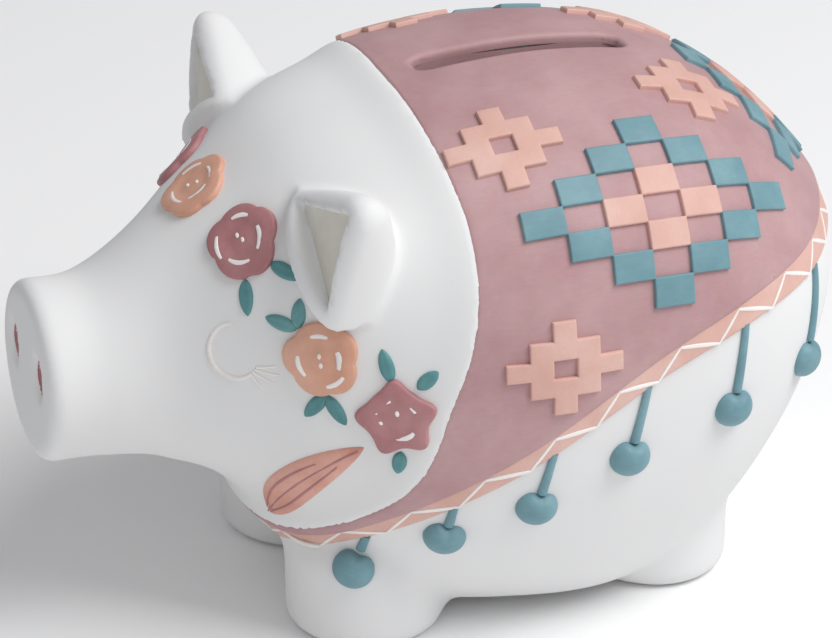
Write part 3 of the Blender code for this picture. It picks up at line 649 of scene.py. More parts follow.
def thicken(points, normals, heights, faces, sunk):
    """A closed solid with its top at heights above a surface and its underside below the surface."""
    count = len(points)
    solid = np.vstack([points + normals * np.asarray(heights)[:, None], points - normals * sunk])
    edges = {(face[i], face[(i + 1) % len(face)]) for face in faces for i in range(len(face))}
    shell = [tuple(face) for face in faces] + [tuple(i + count for i in face[::-1]) for face in faces]
    shell += [(b, a, a + count, b + count) for a, b in edges if (b, a) not in edges]
    return solid, shell


def outside_slot(x, y, z):
    """Distance outside the coin slot, on the back only."""
    return np.where(z > WAIST, in_slot(x, y, z), 50.0)


poncho_cuts = [(0.0, 0.12, 0.35, PONCHO_ROUNDING)] * 2 + [(0.0, 0.2, 0.55, SLOT_ROUNDING)]
points, faces = sheet_on(torso, [behind_neck, above_border, outside_slot], poncho_cuts)
normals = normals_on(torso, points)
rim = np.minimum(edge_distance(behind_neck, points, normals), edge_distance(above_border, points, normals))
heights = np.minimum(rounded(rim, PONCHO_HEIGHT, PONCHO_ROUNDING),
                     rounded(edge_distance(outside_slot, points, normals), PONCHO_HEIGHT, SLOT_ROUNDING))
poncho = add_mesh("poncho_sheet", *thicken(points, normals, heights, faces, SHEET_SUNK), 60.0)

# Dusty mauve: two thin brushed coats, a little paler where they are thin
mauve_paint = painted("dusty_mauve_acrylic", "#BA9496", "#B38B8E", "#C19C9E", 0.55, (1.0, 0.22, 1.0), 0.9)
poncho.data.materials.append(mauve_paint)
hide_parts("poncho")
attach(poncho, "casting")


def slot_outline(radius, count=14):
    """Points round the coin slot."""
    straight = (SLOT_LENGTH - SLOT_WIDTH) / 2
    angles = np.linspace(0.0, math.pi, count)
    ends = [(1, angles), (-1, angles + math.pi)]
    return np.array([(radius * math.cos(a), along(SLOT_SHARE) + side * straight + radius * math.sin(a))
                     for side, turn in ends for a in turn])


# The slot's side walls, painted down to the depth that a brush reaches
outline = slot_outline(SLOT_WIDTH / 2)
outer = slot_outline(SLOT_WIDTH / 2 + SLOT_WALL / 2)
top, _ = drop([(x, y, BACK + 5.0) for x, y in outline], (0.0, 0.0, 1.0), torso)
top_z = top[:, 2] + PONCHO_HEIGHT - SLOT_ROUNDING + 0.1
foot_z = top_z - SLOT_LINER_DEPTH
levels = [(outer, top_z - 0.5), (outline, top_z), (outline, foot_z), (outer, foot_z)]
liner_points = np.vstack([np.column_stack([ring, z]) for ring, z in levels])
count = len(outline)
liner_faces = []
for level in range(4):
    a, b = level * count, (level + 1) % 4 * count
    liner_faces += [(i + a, (i + 1) % count + a, (i + 1) % count + b, i + b) for i in range(count)]
liner = add_mesh("coin_slot_wall", liner_points, liner_faces)
liner.data.materials.append(mauve_paint)
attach(liner, "casting")


# ---------------------------------------------------------------------------------------------------------
# Border: a lower band along the hem, painted peach, with a thin white zigzag brushed over it.

BAND_HEIGHT = 0.75
BAND_ROUNDING = 0.6
BAND_TUCK = 1.0
ZIGZAG_PITCH = (16.5, 11.0)
ZIGZAG_START = 1.0
HEM_STEP = 1.2
ZIGZAG_LEAN = 0.36
ZIGZAG_HALF = (0.32, 0.45)
ZIGZAG_LOW = 0.05
ZIGZAG_HIGH = 0.93
PAINT_LIFT = 0.02


def below_poncho(x, y, z):
    """Height below a line just under the poncho's lower edge."""
    return BAND_TUCK - above_border(x, y, z)


band_cuts = [(0.0,), (0.0, 0.1, 0.3, BAND_ROUNDING), (0.0,)]
points, faces = sheet_on(torso, [behind_neck, above_hem, below_poncho], band_cuts)
normals = normals_on(torso, points)
heights = rounded(edge_distance(above_hem, points, normals), BAND_HEIGHT, BAND_ROUNDING)
band = add_mesh("hem_band", *thicken(points, normals, heights, faces, SHEET_SUNK), 60.0)

# Peach: the same thin acrylic, warmer and lighter than the mauve
peach_paint = painted("peach_acrylic", "#DBB0A4", "#D5A89B", "#E1BAAF", 0.55, (0.25, 1.0, 1.0), 0.5)
band.data.materials.append(peach_paint)
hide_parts("poncho_border")
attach(band, "casting")


def node_group(name, sockets):
    """An empty geometry node tree with the named inputs, which ends in one geometry."""
    tree = bpy.data.node_groups.new(name, "GeometryNodeTree")
    tree.interface.new_socket("Geometry", in_out="INPUT", socket_type="NodeSocketGeometry")
    for socket, kind in sockets:
        tree.interface.new_socket(socket, in_out="INPUT", socket_type=kind)
    tree.interface.new_socket("Geometry", in_out="OUTPUT", socket_type="NodeSocketGeometry")
    return tree


def end_tree(tree, geometry, paint):
    """Smooth, realize and paint a tree's geometry, and end the tree there."""
    soft = add_node(tree, "GeometryNodeSetShadeSmooth", {"Geometry": geometry})
    whole = add_node(tree, "GeometryNodeRealizeInstances", {"Geometry": soft})
    coated = add_node(tree, "GeometryNodeSetMaterial", {"Geometry": whole, "Material": paint})
    add_node(tree, "NodeGroupOutput", {"Geometry": coated})
    return tree


def run_tree(obj, tree, values):
    """Run a node tree on an object with its named inputs, and keep the result as plain mesh."""
    modifier = obj.modifiers.new(tree.name, "NODES")
    modifier.node_group = tree
    for item in tree.interface.items_tree:
        if item.in_out == "INPUT" and item.name in values:
            modifier[item.identifier] = values[item.name]
    return applied(obj)


def stroke_tree():
    """A tree that turns lines into brush strokes or cords: a tube, flattened towards the surface below it."""
    tree = node_group("brush_stroke", [
        ("Flatness", "NodeSocketFloat"), ("Sides", "NodeSocketInt"), ("Paint", "NodeSocketMaterial")])
    given = add_node(tree, "NodeGroupInput")
    line = add_node(tree, "GeometryNodeMeshToCurve", {"Mesh": given.outputs["Geometry"]})
    spot = add_node(tree, "GeometryNodeInputPosition")
    stored = add_node(tree, "GeometryNodeStoreNamedAttribute", {
        "Geometry": line, "Name": "middle", "Value": spot}, data_type="FLOAT_VECTOR", domain="POINT")
    half = add_node(tree, "GeometryNodeInputNamedAttribute", {"Name": "half_width"}, data_type="FLOAT")
    middle = add_node(tree, "GeometryNodeInputNamedAttribute", {"Name": "middle"}, data_type="FLOAT_VECTOR")
    out = add_node(tree, "GeometryNodeInputNamedAttribute", {"Name": "out"}, data_type="FLOAT_VECTOR")
    ring = add_node(tree, "GeometryNodeCurvePrimitiveCircle", {
        "Resolution": given.outputs["Sides"], "Radius": 1.0})
    tube = add_node(tree, "GeometryNodeCurveToMesh", {
        "Curve": stored, "Profile Curve": ring, "Scale": half, "Fill Caps": True})
    offset = add_node(tree, "ShaderNodeVectorMath", {0: spot, 1: middle}, operation="SUBTRACT")
    rise = add_node(tree, "ShaderNodeVectorMath", {0: offset, 1: out}, operation="DOT_PRODUCT").outputs["Value"]
    squeeze = add_node(tree, "ShaderNodeMath", {0: given.outputs["Flatness"], 1: rise}, operation="MULTIPLY")
    press = add_node(tree, "ShaderNodeMath", {0: squeeze, 1: -1.0}, operation="MULTIPLY")
    move = add_node(tree, "ShaderNodeVectorMath", {0: out, "Scale": press}, operation="SCALE")
    flat = add_node(tree, "GeometryNodeSetPosition", {"Geometry": tube, "Offset": move})
    return end_tree(tree, flat, given.outputs["Paint"])


brush_stroke = stroke_tree()


def strokes(name, lines, paint, flatness=0.5, sides=10):
    """Raised strokes along lines; each line is its points, the surface normals there and its half widths."""
    mesh = bpy.data.meshes.new(name)
    points, normals, halves, edges = [], [], [], []
    for line, out, half in lines:
        edges += [(len(points) + i, len(points) + i + 1) for i in range(len(line) - 1)]
        points += [tuple(p * MM) for p in line]
        normals += list(out)
        halves += list(np.broadcast_to(half, len(line)) * MM)
    mesh.from_pydata(points, edges, [])
    mesh.attributes.new("half_width", "FLOAT", "POINT").data.foreach_set("value", halves)
    mesh.attributes.new("out", "FLOAT_VECTOR", "POINT").data.foreach_set("vector", np.ravel(normals))
    obj = add_object(name, mesh)
    run_tree(obj, brush_stroke, {"Flatness": flatness, "Sides": sides, "Paint": paint})
    for attribute in ("half_width", "out", "middle"):
        if attribute in obj.data.attributes:
            obj.data.attributes.remove(obj.data.attributes[attribute])
    return obj


def brushed(count):
    """Half widths along a brush stroke, as shares of its fullest: narrower where the brush lands and lifts."""
    way = np.linspace(0.0, 1.0, count)
    return np.sin((way * 0.75 + 0.125) * math.pi) ** 0.6 * 0.85 + 0.12


def mirrored(line, out, half, side):
    """A stroke on the left of the pig, or its mirror image where side is -1."""
    return line * (side, 1, 1), out * (side, 1, 1), half


def follow(line, start, reach, step):
    """Points every step along the torso's skin where a field is zero, from the chest's middle to the rump's."""
    points = [np.array(start, float)]
    while points[-1][0] > 0.0 and len(points) * step < reach:
        spot = 2 * points[-1] - points[-2] if len(points) > 1 else points[0] + (step, 0.0, 0.0)
        for _ in range(3):
            for field in (torso, line):
                way = gradient(field, spot[None])[0]
                spot = spot - field(*spot) * way / max(way @ way, 0.05)
        points.append(points[-1] + step * (spot - points[-1]) / np.linalg.norm(spot - points[-1]))
    return np.array(points)


def zigzag(hem_line, side):
    """The lines of the zigzag on one side: nearly level strokes and steep ones by turns."""
    lines = []
    arcs = HEM_STEP * np.arange(len(hem_line))

    def on_band(arc, level):
        spot = np.array([np.interp(arc, arcs, hem_line[:, i]) for i in range(3)])
        out = gradient(torso, spot[None])[0]
        out /= np.linalg.norm(out)
        up = np.array([0.0, 0.0, 1.0]) - out[2] * out
        return spot + up / np.linalg.norm(up) * level * border_width(spot[1]) / up[2] ** 0.5, out

    low = ZIGZAG_START
    while low < arcs[-1]:
        pitch = ZIGZAG_PITCH[0] + (ZIGZAG_PITCH[1] - ZIGZAG_PITCH[0]) * low / arcs[-1]
        corners = [(low, ZIGZAG_LOW), (low + ZIGZAG_LEAN * pitch, ZIGZAG_HIGH), (low + pitch, ZIGZAG_LOW)]
        for (a, level_a), (b, level_b), fullest in zip(corners, corners[1:], ZIGZAG_HALF):
            places = [(a + (b - a) * t, level_a + (level_b - level_a) * t) for t in np.linspace(0.0, 1.0, 12)]
            spots = [on_band(arc, level) for arc, level in places if arc <= arcs[-1]]
            if len(spots) < 3:
                continue
            line, out = drop([spot for spot, _ in spots], np.array([out for _, out in spots]), torso)
            raised = line + out * (BAND_HEIGHT + PAINT_LIFT)
            lines.append(mirrored(raised, out, fullest * brushed(len(line)), side))
        low += pitch
    return lines


# White acrylic straight from the pot, opaque and slightly raised
white_paint = painted("white_acrylic_lines", "#F1EDE9", "#EAE4E0", "#F6F3F0", 0.5, (1.0, 1.0, 1.0), 0.0)
hem_line = follow(above_hem, (0.2, along(0.25), float(hem_height(along(0.25)))), 230.0, HEM_STEP)[1:]
zigzags = strokes("hem_zigzag", zigzag(hem_line, 1) + zigzag(hem_line, -1), white_paint, 0.62)
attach(zigzags, "casting")


# ---------------------------------------------------------------------------------------------------------
# Woven patterns: stepped crosses in peach, and diamonds of teal tiles round four peach ones. Each tile is a
# thin flat raise in the mould with a crisp edge, and its paint stops at that edge.

CROSS_CELL = (4.3, 3.5)
CROSS_PLACES = [(0.525, 55.5), (0.550, 9.5), (0.785, 68.0)]
TILE = (7.6, 4.8)
RUMP_TILE = (7.4, 4.5)
TILE_HEIGHT = 0.85
TILE_EDGE = 0.3
TILE_JOINT = 0.12
FLANK_DIAMOND = (0.690, 38.0)
RUMP_DIAMOND = (0.820, 90.0)
RUMP_PITCH = 22.0


def steps_at(distances, reach):
    """Grid cells whose stepped distance from the middle is one of distances."""
    span = range(-reach, reach + 1)
    return [(i, j) for i in span for j in span if abs(i) + abs(j) in distances]


def tiles(wanted, cell, reach, grow=0.0):
    """A flat pattern of grid cells: points with their height, and faces. Edges are rounded."""
    lines = []
    for size in cell:
        borders = [(k + 0.5) * size for k in range(-reach - 1, reach + 1)]
        places = [b + side * step for b in borders for step in (0.0, 0.08, 0.18, 0.32) for side in (-1, 1)]
        places += [b + size * share for b in borders[:-1] for share in (0.25, 0.5, 0.75)]
        places += [b + side * grow for b in borders for side in (-1, 1)]
        lines.append(np.unique(np.round(places, 4)))
    x, y = np.meshgrid(*lines, indexing="ij")
    span = range(-reach - 1, reach + 2)
    inside = np.full(x.shape, 99.0)
    for i in span:
        for j in span:
            if (i, j) not in wanted:
                off_x = np.maximum(np.abs(x - i * cell[0]) - cell[0] / 2 + grow, 0.0)
                off_y = np.maximum(np.abs(y - j * cell[1]) - cell[1] / 2 + grow, 0.0)
                inside = np.minimum(inside, np.hypot(off_x, off_y))
    height = rounded(inside, TILE_HEIGHT, TILE_EDGE)
    number = np.arange(x.size).reshape(x.shape)
    faces = []
    for i in range(x.shape[0] - 1):
        for j in range(x.shape[1] - 1):
            corners = (number[i, j], number[i + 1, j], number[i + 1, j + 1], number[i, j + 1])
            middle = ((lines[0][i] + lines[0][i + 1]) / 2, (lines[1][j] + lines[1][j + 1]) / 2)
            if any(abs(middle[0] - a * cell[0]) < cell[0] / 2 + grow and
                   abs(middle[1] - b * cell[1]) < cell[1] / 2 + grow for a, b in wanted):
                faces.append(corners)
    used = np.unique(faces)
    renumber = np.full(x.size, -1)
    renumber[used] = np.arange(len(used))
    points = np.column_stack([x.ravel(), y.ravel(), height.ravel()])[used]
    return points, [tuple(renumber[list(face)]) for face in faces]


def mirrored_solid(solid, shell, side):
    """A closed solid on the left of the pig, or its mirror image where side is -1."""
    if side > 0:
        return solid, shell
    return solid * (-1, 1, 1), [face[::-1] for face in shell]


def laid(name, pattern, place, skin, paint, side=1, lift=0.0, sunk=0.5):
    """Lay a flat pattern on a skin as a closed solid; side -1 puts it on the right of the pig."""
    points, faces = pattern
    points = np.asarray(points, float)
    surface, normals = drop_flat(points[:, :2], place, skin)
    solid, shell = thicken(surface, normals, points[:, 2] + lift, faces, sunk - lift)
    obj = add_mesh(name, *mirrored_solid(solid, shell, side), 50.0)
    obj.data.materials.append(paint)
    return obj


# Teal: a cool grey-blue acrylic, brushed along the pig
teal_paint = painted("dusty_teal_acrylic", "#7097A1", "#678E98", "#7DA3AC", 0.5, (1.0, 0.2, 1.0), 0.4)
cross = tiles([c for c in steps_at((0, 1, 2), 2) if c != (0, 0)], CROSS_CELL, 2)
for word, side in SIDES:
    for number, (share, bearing) in enumerate(CROSS_PLACES, 1):
        place = seat(torso, share, bearing)
        piece = laid(f"painted_cross_{word}_{number}", cross, place, torso, peach_paint, side, PONCHO_HEIGHT)
        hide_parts(f"cross_{word}_{number}")
        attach(piece, "casting")


def diamond(word, tile, place, side=1):
    """Twelve teal tiles round four peach ones."""
    parts = (("ring", 3, teal_paint, "teal_paint"), ("core", 1, peach_paint, "peach_paint"))
    for part, distance, paint, slot in parts:
        pattern = tiles(steps_at((distance,), distance), tile, distance, TILE_JOINT)
        piece = laid(f"painted_diamond_{part}_{word}", pattern, place, torso, paint, side, PONCHO_HEIGHT)
        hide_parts(f"diamond_{part}_{word}")
        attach(piece, "casting")


for word, side in SIDES:
    diamond(word, TILE, seat(torso, *FLANK_DIAMOND), side)
diamond("rump", RUMP_TILE, seat(torso, *RUMP_DIAMOND, RUMP_PITCH, long_way=(-1, 0, 0)))


# ---------------------------------------------------------------------------------------------------------
# Tassels: short cords that hang from the hem, each with a pompon, cast as fat raised drops and painted teal.
# The mould pinches each pompon where its cord runs in, which leaves two rounded shoulders.

# Share of the length, cord and lean in degrees of each
TASSELS = [
    (0.345, 3.4, -4), (0.430, 3.6, -8), (0.540, 7.5, -12),
    (0.655, 10.0, -12), (0.785, 12.0, -6), (0.905, 13.0, 0),
]
CORD_GAP = 0.1
BALL_RADIUS = 4.0
BALL_RISE = 3.1
BALL_SINK = 0.8
NOTCH_DEPTH = 0.26
NOTCH_WIDTH = 22.0
CORD_HALF = 0.85
CORD_LIFT = 0.3
CORD_TUCK = 0.5
CORD_INTO_BALL = 0.7


def weld(obj, distance, move=(0.0, 0.0, 0.0)):
    """Close a mesh where its points meet, turn its faces outwards and move it."""
    bm = bmesh.new()
    bm.from_mesh(obj.data)
    bmesh.ops.remove_doubles(bm, verts=bm.verts, dist=distance * MM)
    bmesh.ops.recalc_face_normals(bm, faces=bm.faces)
    bmesh.ops.translate(bm, verts=bm.verts, vec=move)
    bm.to_mesh(obj.data)
    bm.free()


def pompon(segments=40, rings=12):
    """A drop that stands on the surface, notched at the top where the cord runs in, as one closed mesh."""
    points, faces = [], []
    for ring in range(rings + 1):
        lift = math.pi / 2 * ring / rings
        for j in range(segments):
            turn = 2 * math.pi * j / segments
            away = abs((math.degrees(turn) - 90 + 180) % 360 - 180)
            notch = 1 - NOTCH_DEPTH * math.exp(-(away / NOTCH_WIDTH) ** 2) * math.cos(lift) ** 0.5
            reach = BALL_RADIUS * math.cos(lift) * notch
            points.append((reach * math.cos(turn), reach * math.sin(turn) * 0.94, BALL_RISE * math.sin(lift)))
    for ring in range(rings):
        for j in range(segments):
            a, b = ring * segments + j, ring * segments + (j + 1) % segments
            faces.append((a, b, b + segments, a + segments))
    base = len(points)
    points += [(x * 0.9, y * 0.9, -BALL_SINK) for x, y, _ in points[:segments]]
    faces += [(base + j, base + (j + 1) % segments, (j + 1) % segments, j) for j in range(segments)]
    faces.append(tuple(base + j for j in reversed(range(segments))))
    obj = add_mesh("pompon", points, faces, 60.0)
    weld(obj, 0.01)
    return obj


def pompon_tree():
    """A tree that puts a copy of one piece at each point, turned by the point's own turn."""
    tree = node_group("hung_pompons", [("Pompon", "NodeSocketObject"), ("Paint", "NodeSocketMaterial")])
    given = add_node(tree, "NodeGroupInput")
    copy = add_node(tree, "GeometryNodeObjectInfo", {"Object": given.outputs["Pompon"]}).outputs["Geometry"]
    turn = add_node(tree, "GeometryNodeInputNamedAttribute", {"Name": "turn"}, data_type="FLOAT_VECTOR")
    placed = add_node(tree, "GeometryNodeInstanceOnPoints", {
        "Points": given.outputs["Geometry"], "Instance": copy, "Rotation": turn})
    return end_tree(tree, placed, given.outputs["Paint"])


drop_shape = pompon()
hung_pompons = pompon_tree()
mirror = Matrix.Scale(-1, 4, (1, 0, 0))
for word, side in SIDES:
    spots, turns, cords = [], [], []
    for share, cord, lean in TASSELS:
        top = seat(torso, share, 0.0, height=float(hem_height(along(share))) - CORD_GAP)
        if side < 0:
            top = mirror @ top @ mirror
        down = Matrix.Rotation(math.radians(lean * side), 4, "Z") @ Vector((0.0, -1.0, 0.0))
        length = CORD_TUCK + cord + CORD_INTO_BALL
        hang = [top @ (down * (way * length - CORD_TUCK)) for way in np.linspace(0.0, 1.0, 10)]
        line, out = drop(hang, top.to_3x3().col[2], torso)
        thick = CORD_HALF * (1 + 0.12 * np.linspace(-1.0, 1.0, len(line)))
        cords.append((line + out * CORD_LIFT, out, thick))
        centre, normal = drop([top @ (down * (cord + BALL_RADIUS))], top.to_3x3().col[2], torso)
        up = (Vector(line[0]) - Vector(centre[0])).normalized()
        normal = Vector(normal[0])
        up = (up - up.dot(normal) * normal).normalized()
        axes = Matrix((up.cross(normal), up, normal)).transposed()
        spots.append(tuple(centre[0] * MM))
        turns.append(tuple(axes.to_euler()))
    mesh = bpy.data.meshes.new("pompons")
    mesh.from_pydata(spots, [], [])
    mesh.attributes.new("turn", "FLOAT_VECTOR", "POINT").data.foreach_set("vector", np.ravel(turns))
    pompons = add_object(f"pompons_{word}", mesh)
    run_tree(pompons, hung_pompons, {"Pompon": drop_shape, "Paint": teal_paint})
    pompons.data.shade_smooth()
    cord_piece = strokes(f"tassel_cords_{word}", cords, teal_paint, 0.15, 14)
    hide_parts(*[f"tassel_{word}_{n}" for n in range(1, len(TASSELS) + 1)])
    for piece in (pompons, cord_piece):
        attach(piece, "casting")
bpy.data.objects.remove(drop_shape)


# ---------------------------------------------------------------------------------------------------------
# Garland: roses across the brow, with leaves round them and a feather that runs down the cheek from the last
# one. Each is a low raise with a soft edge and a paint of its own.

ROSES = [
    ("middle", "peach", 0.213, 90.0, 18.0),
    ("1", "mauve", 0.234, 55.5, 20.0),
    ("2", "peach", 0.290, 15.5, 40.0),
    ("3", "mauve", 0.364, -0.5, 10.0),
]
ROSE_RADIUS = 7.3
ROSE_HEIGHT = 1.25
ROSE_ROUNDING = 0.45
PETAL_TIPS = (8, 84, 170, 240, 305)


def petal_outline(turn, kind):
    """Radius of a rose's outline: rounded petals, or pointed ones for the last rose."""
    if kind == "3":
        away = [(math.degrees(turn) - tip + 180) % 360 - 180 for tip in PETAL_TIPS]
        return ROSE_RADIUS * (0.80 + 0.24 * sum(math.exp(-angle ** 2 / 300) for angle in away))
    wave = math.cos(2.5 * turn + 0.4)
    return ROSE_RADIUS * (0.86 + 0.12 * abs(wave) ** 0.8 + 0.03 * math.sin(3 * turn + 1.0))


def rose_height(share):
    """Height of the rose's face: petals that overlap in rings, dished towards the middle."""
    ridge = 0.16 * math.cos(share * 9.0) * min(share * 2.5, 1.0)
    return ROSE_HEIGHT * (0.80 + 0.2 * share) + ridge


def round_faces(segments, rings):
    """Faces of a round pattern: a fan about its middle point, then rings of quads."""
    faces = [(0, 1 + j, 1 + (j + 1) % segments) for j in range(segments)]
    for ring in range(rings - 1):
        first = 1 + ring * segments
        for j in range(segments):
            a, b = first + j, first + (j + 1) % segments
            faces.append((a, a + segments, b + segments, b))
    return faces


def rose(kind, segments=96):
    """A rose as a flat pattern: rings of points, closer together near the rim."""
    shares = [0.08, 0.16, 0.25, 0.34, 0.43, 0.52, 0.61, 0.70, 0.78, 0.86, 0.92, 0.955, 0.98, 1.0]
    points = [(0.0, 0.0, rose_height(0.0))]
    for share in shares:
        for j in range(segments):
            turn = 2 * math.pi * j / segments
            reach = petal_outline(turn, kind) * share
            edge = float(rounded(petal_outline(turn, kind) * (1 - share), 0.0, ROSE_ROUNDING))
            points.append((reach * math.cos(turn), reach * math.sin(turn), rose_height(share) + edge))
    return points, round_faces(segments, len(shares))


# Brushed highlights on each rose: the turn where the arc starts and ends, its radius and its half width
HIGHLIGHTS = {
    "middle": [(40, 95, 4.6, 0.45), (150, 215, 4.4, 0.4), (235, 300, 3.8, 0.45), (320, 370, 4.2, 0.4)],
    "1": [(55, 100, 4.5, 0.5), (150, 200, 5.0, 0.42), (215, 275, 4.2, 0.5), (310, 375, 3.9, 0.62)],
    "2": [(70, 110, 4.6, 0.45), (170, 225, 4.2, 0.55), (335, 390, 3.6, 0.75), (280, 325, 4.9, 0.5)],
    "3": [(105, 165, 3.9, 0.5), (25, 75, 3.9, 0.5), (270, 325, 4.0, 0.6), (190, 205, 3.0, 0.45)],
}
DOTS = {
    "middle": [(-0.8, 0.6), (0.9, -0.6)],
    "1": [(-0.6, 1.1), (0.2, -0.1)],
    "2": [(-0.2, 0.8), (0.0, -0.9)],
    "3": [(0.2, 1.2), (0.1, 1.3)],
}
DOT_HALF = 0.55

# Rose mauve and apricot: one deeper than the poncho's paint, one deeper than the band's
rose_mauve = painted("deep_rose_acrylic", "#AD7779", "#A26B6E", "#B98587", 0.5, (1.0, 1.0, 1.0), 0.3)
rose_peach = painted("apricot_acrylic", "#D9A48D", "#D19A82", "#E0AF9A", 0.5, (1.0, 1.0, 1.0), 0.3)
ROSE_PAINTS = {"mauve": (rose_mauve, "rose_paint"), "peach": (rose_peach, "peach_paint")}


def rose_strokes(kind, place, side):
    """The highlights of one rose, as lines on its face."""
    lines = []
    for start, end, radius, half in HIGHLIGHTS[kind]:
        turns = np.radians(np.linspace(start, end, 12))
        flat = np.column_stack([radius * np.cos(turns), radius * np.sin(turns)])
        lines.append((flat, half * brushed(12)))
    for x, y in DOTS[kind]:
        flat = np.column_stack([np.linspace(x - 0.35, x + 0.35, 7), np.full(7, y)])
        lines.append((flat, DOT_HALF * np.sqrt(np.clip(1.02 - np.linspace(-1, 1, 7) ** 2, 0.05, 1))))
    result = []
    for flat, half in lines:
        line, out = drop_flat(flat, place, head)
        height = np.array([rose_height(share) for share in np.linalg.norm(flat, axis=1) / ROSE_RADIUS])
        result.append(mirrored(line + out * height[:, None], out, half, side))
    return result


highlights = []
for kind, colour, share, bearing, turn in ROSES:
    place = seat(head, share, bearing, turn=turn)
    strokes_place = seat(head, share, bearing)
    paint, slot = ROSE_PAINTS[colour]
    for word, side in SIDES:
        if kind == "middle" and side < 0:
            continue
        node = "rose_middle" if kind == "middle" else f"rose_{word}_{kind}"
        piece = laid(f"painted_{node}", rose(kind), place, head, paint, side)
        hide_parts(node)
        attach(piece, "casting")
        highlights += rose_strokes(kind, strokes_place, side)
rose_highlights = strokes("rose_highlights", highlights, white_paint, 0.7)
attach(rose_highlights, "casting")

# Leaves: the rose they grow from, the place round it, then the turn and length of each leaf
LEAVES = [
    ("high_front", 1, -108.0, [(-112.0, 5.6)]),
    ("high_rear", 1, -60.0, [(-50.0, 5.8)]),
    ("upper_pair", 2, 130.0, [(164.0, 5.6), (84.0, 4.8)]),
    ("lower_pair", 2, -88.0, [(-134.0, 5.6), (-62.0, 6.0)]),
    ("low_front", 3, 98.0, [(106.0, 5.8)]),
    ("low_rear", 3, 58.0, [(44.0, 4.4)]),
    ("low_under", 3, -84.0, [(-100.0, 4.0)]),
]
LEAF_WIDTH = 2.8
LEAF_HEIGHT = 0.8
LEAF_REACH = 6.9
LEAF_OVERLAP = 0.8
FEATHER_PLACE = (0.282, -31.0)
FEATHER_TURN = 62.0
FEATHER_LENGTH = 32.0
FEATHER_WIDTH = 8.2
FEATHER_BOW = 2.6
FEATHER_FULLEST = 0.38
FEATHER_LIFT = 0.08
# Level across the feather, start and end along it, and height of each line painted on it
FEATHER_LINES = [(-0.28, 0.06, 0.80, 0.93), (0.0, 0.03, 0.97, 0.80), (0.30, 0.08, 0.72, 0.93)]


def blade(length, width, height, bow=0.0, groove=0.25, fullest=0.45, along_steps=22, across_steps=10):
    """A leaf as a flat pattern along +X from the origin: pointed at both ends and grooved down its middle."""
    points = []
    for i in range(along_steps + 1):
        way = i / along_steps
        profile = (way / fullest) ** 0.7 if way < fullest else ((1 - way) / (1 - fullest)) ** 0.7
        half = width / 2 * max(math.sin(profile * math.pi / 2), 0.03)
        for j in range(across_steps + 1):
            t = math.sin((j / across_steps * 2 - 1) * math.pi / 2)
            crown = math.sqrt(max(1 - t * t, 0.0)) * min(1.0, profile * 1.6 + 0.1)
            dip = groove * math.exp(-(t / 0.22) ** 2) * min(1.0, profile * 1.5)
            y = half * t + bow * (1 - (2 * way - 1) ** 2)
            points.append((way * length, y, height * (crown ** 0.7 - dip) - 0.1))
    row = across_steps + 1
    faces = [(i * row + j, (i + 1) * row + j, (i + 1) * row + j + 1, i * row + j + 1)
             for i in range(along_steps) for j in range(across_steps)]
    return points, faces


# Leaf teal: greener and deeper than the tiles, uneven where the brush left it thin
leaf_paint = painted("leaf_teal_acrylic", "#5A9093", "#4A7F84", "#6FA3A5", 0.5, (1.0, 1.0, 1.0), 0.0)


def joined(name, pieces):
    """One object from one or more."""
    if len(pieces) > 1:
        chosen = {"active_object": pieces[0], "object": pieces[0], "selected_editable_objects": pieces}
        with bpy.context.temp_override(**chosen):
            bpy.ops.object.join()
    pieces[0].name = name
    return pieces[0]


for name, number, around, leaves in LEAVES:
    _, _, share, bearing, _ = ROSES[number]
    centre = seat(head, share, bearing)
    start = Matrix.Rotation(math.radians(around), 4, "Z") @ Vector((LEAF_REACH, 0.0, 0.0))
    for word, side in SIDES:
        grown = []
        for turn, length in leaves:
            place = centre @ Matrix.Translation(start) @ Matrix.Rotation(math.radians(turn), 4, "Z")
            leaf = blade(length + LEAF_OVERLAP, LEAF_WIDTH, LEAF_HEIGHT)
            grown.append(laid("leaf", leaf, place, head, leaf_paint, side))
        piece = joined(f"painted_leaf_{word}_{name}", grown)
        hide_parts(f"leaf_{word}_{name}")
        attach(piece, "casting")

# Feather paint: the band's peach, a little redder, with three darker lines brushed along it
feather_paint = painted("salmon_acrylic", "#D69C8B", "#C98B7B", "#E0AC9C", 0.5, (1.0, 1.0, 1.0), 0.2)
barbs = []
for word, side in SIDES:
    place = seat(head, *FEATHER_PLACE, turn=FEATHER_TURN)
    pattern = blade(FEATHER_LENGTH, FEATHER_WIDTH, 1.0, FEATHER_BOW, 0.16, FEATHER_FULLEST, 40, 16)
    place = place @ Matrix.Translation((-FEATHER_LENGTH / 2, 0.0, 0.0))
    piece = laid(f"painted_feather_{word}", pattern, place, head, feather_paint, side)
    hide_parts(f"feather_{word}")
    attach(piece, "casting")
    for level, start, end, lift in FEATHER_LINES:
        way = np.linspace(start, end, 26)
        full = np.where(way < FEATHER_FULLEST, way / FEATHER_FULLEST, (1 - way) / (1 - FEATHER_FULLEST))
        half = FEATHER_WIDTH / 2 * np.sin(np.clip(full, 0, 1) * math.pi / 2)
        across = level * half * 1.9 + FEATHER_BOW * (1 - (2 * way - 1) ** 2)
        line, out = drop_flat(np.column_stack([way * FEATHER_LENGTH, across]), place, head)
        barbs.append(mirrored(line + out * (lift - FEATHER_LIFT), out, 0.24 * brushed(26), side))
feather_lines = strokes("feather_lines", barbs, rose_mauve, 0.55)
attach(feather_lines, "casting")


# ---------------------------------------------------------------------------------------------------------
# Face: closed eyes as fine raised arcs with lashes, and nostrils pressed into the snout and painted rose.

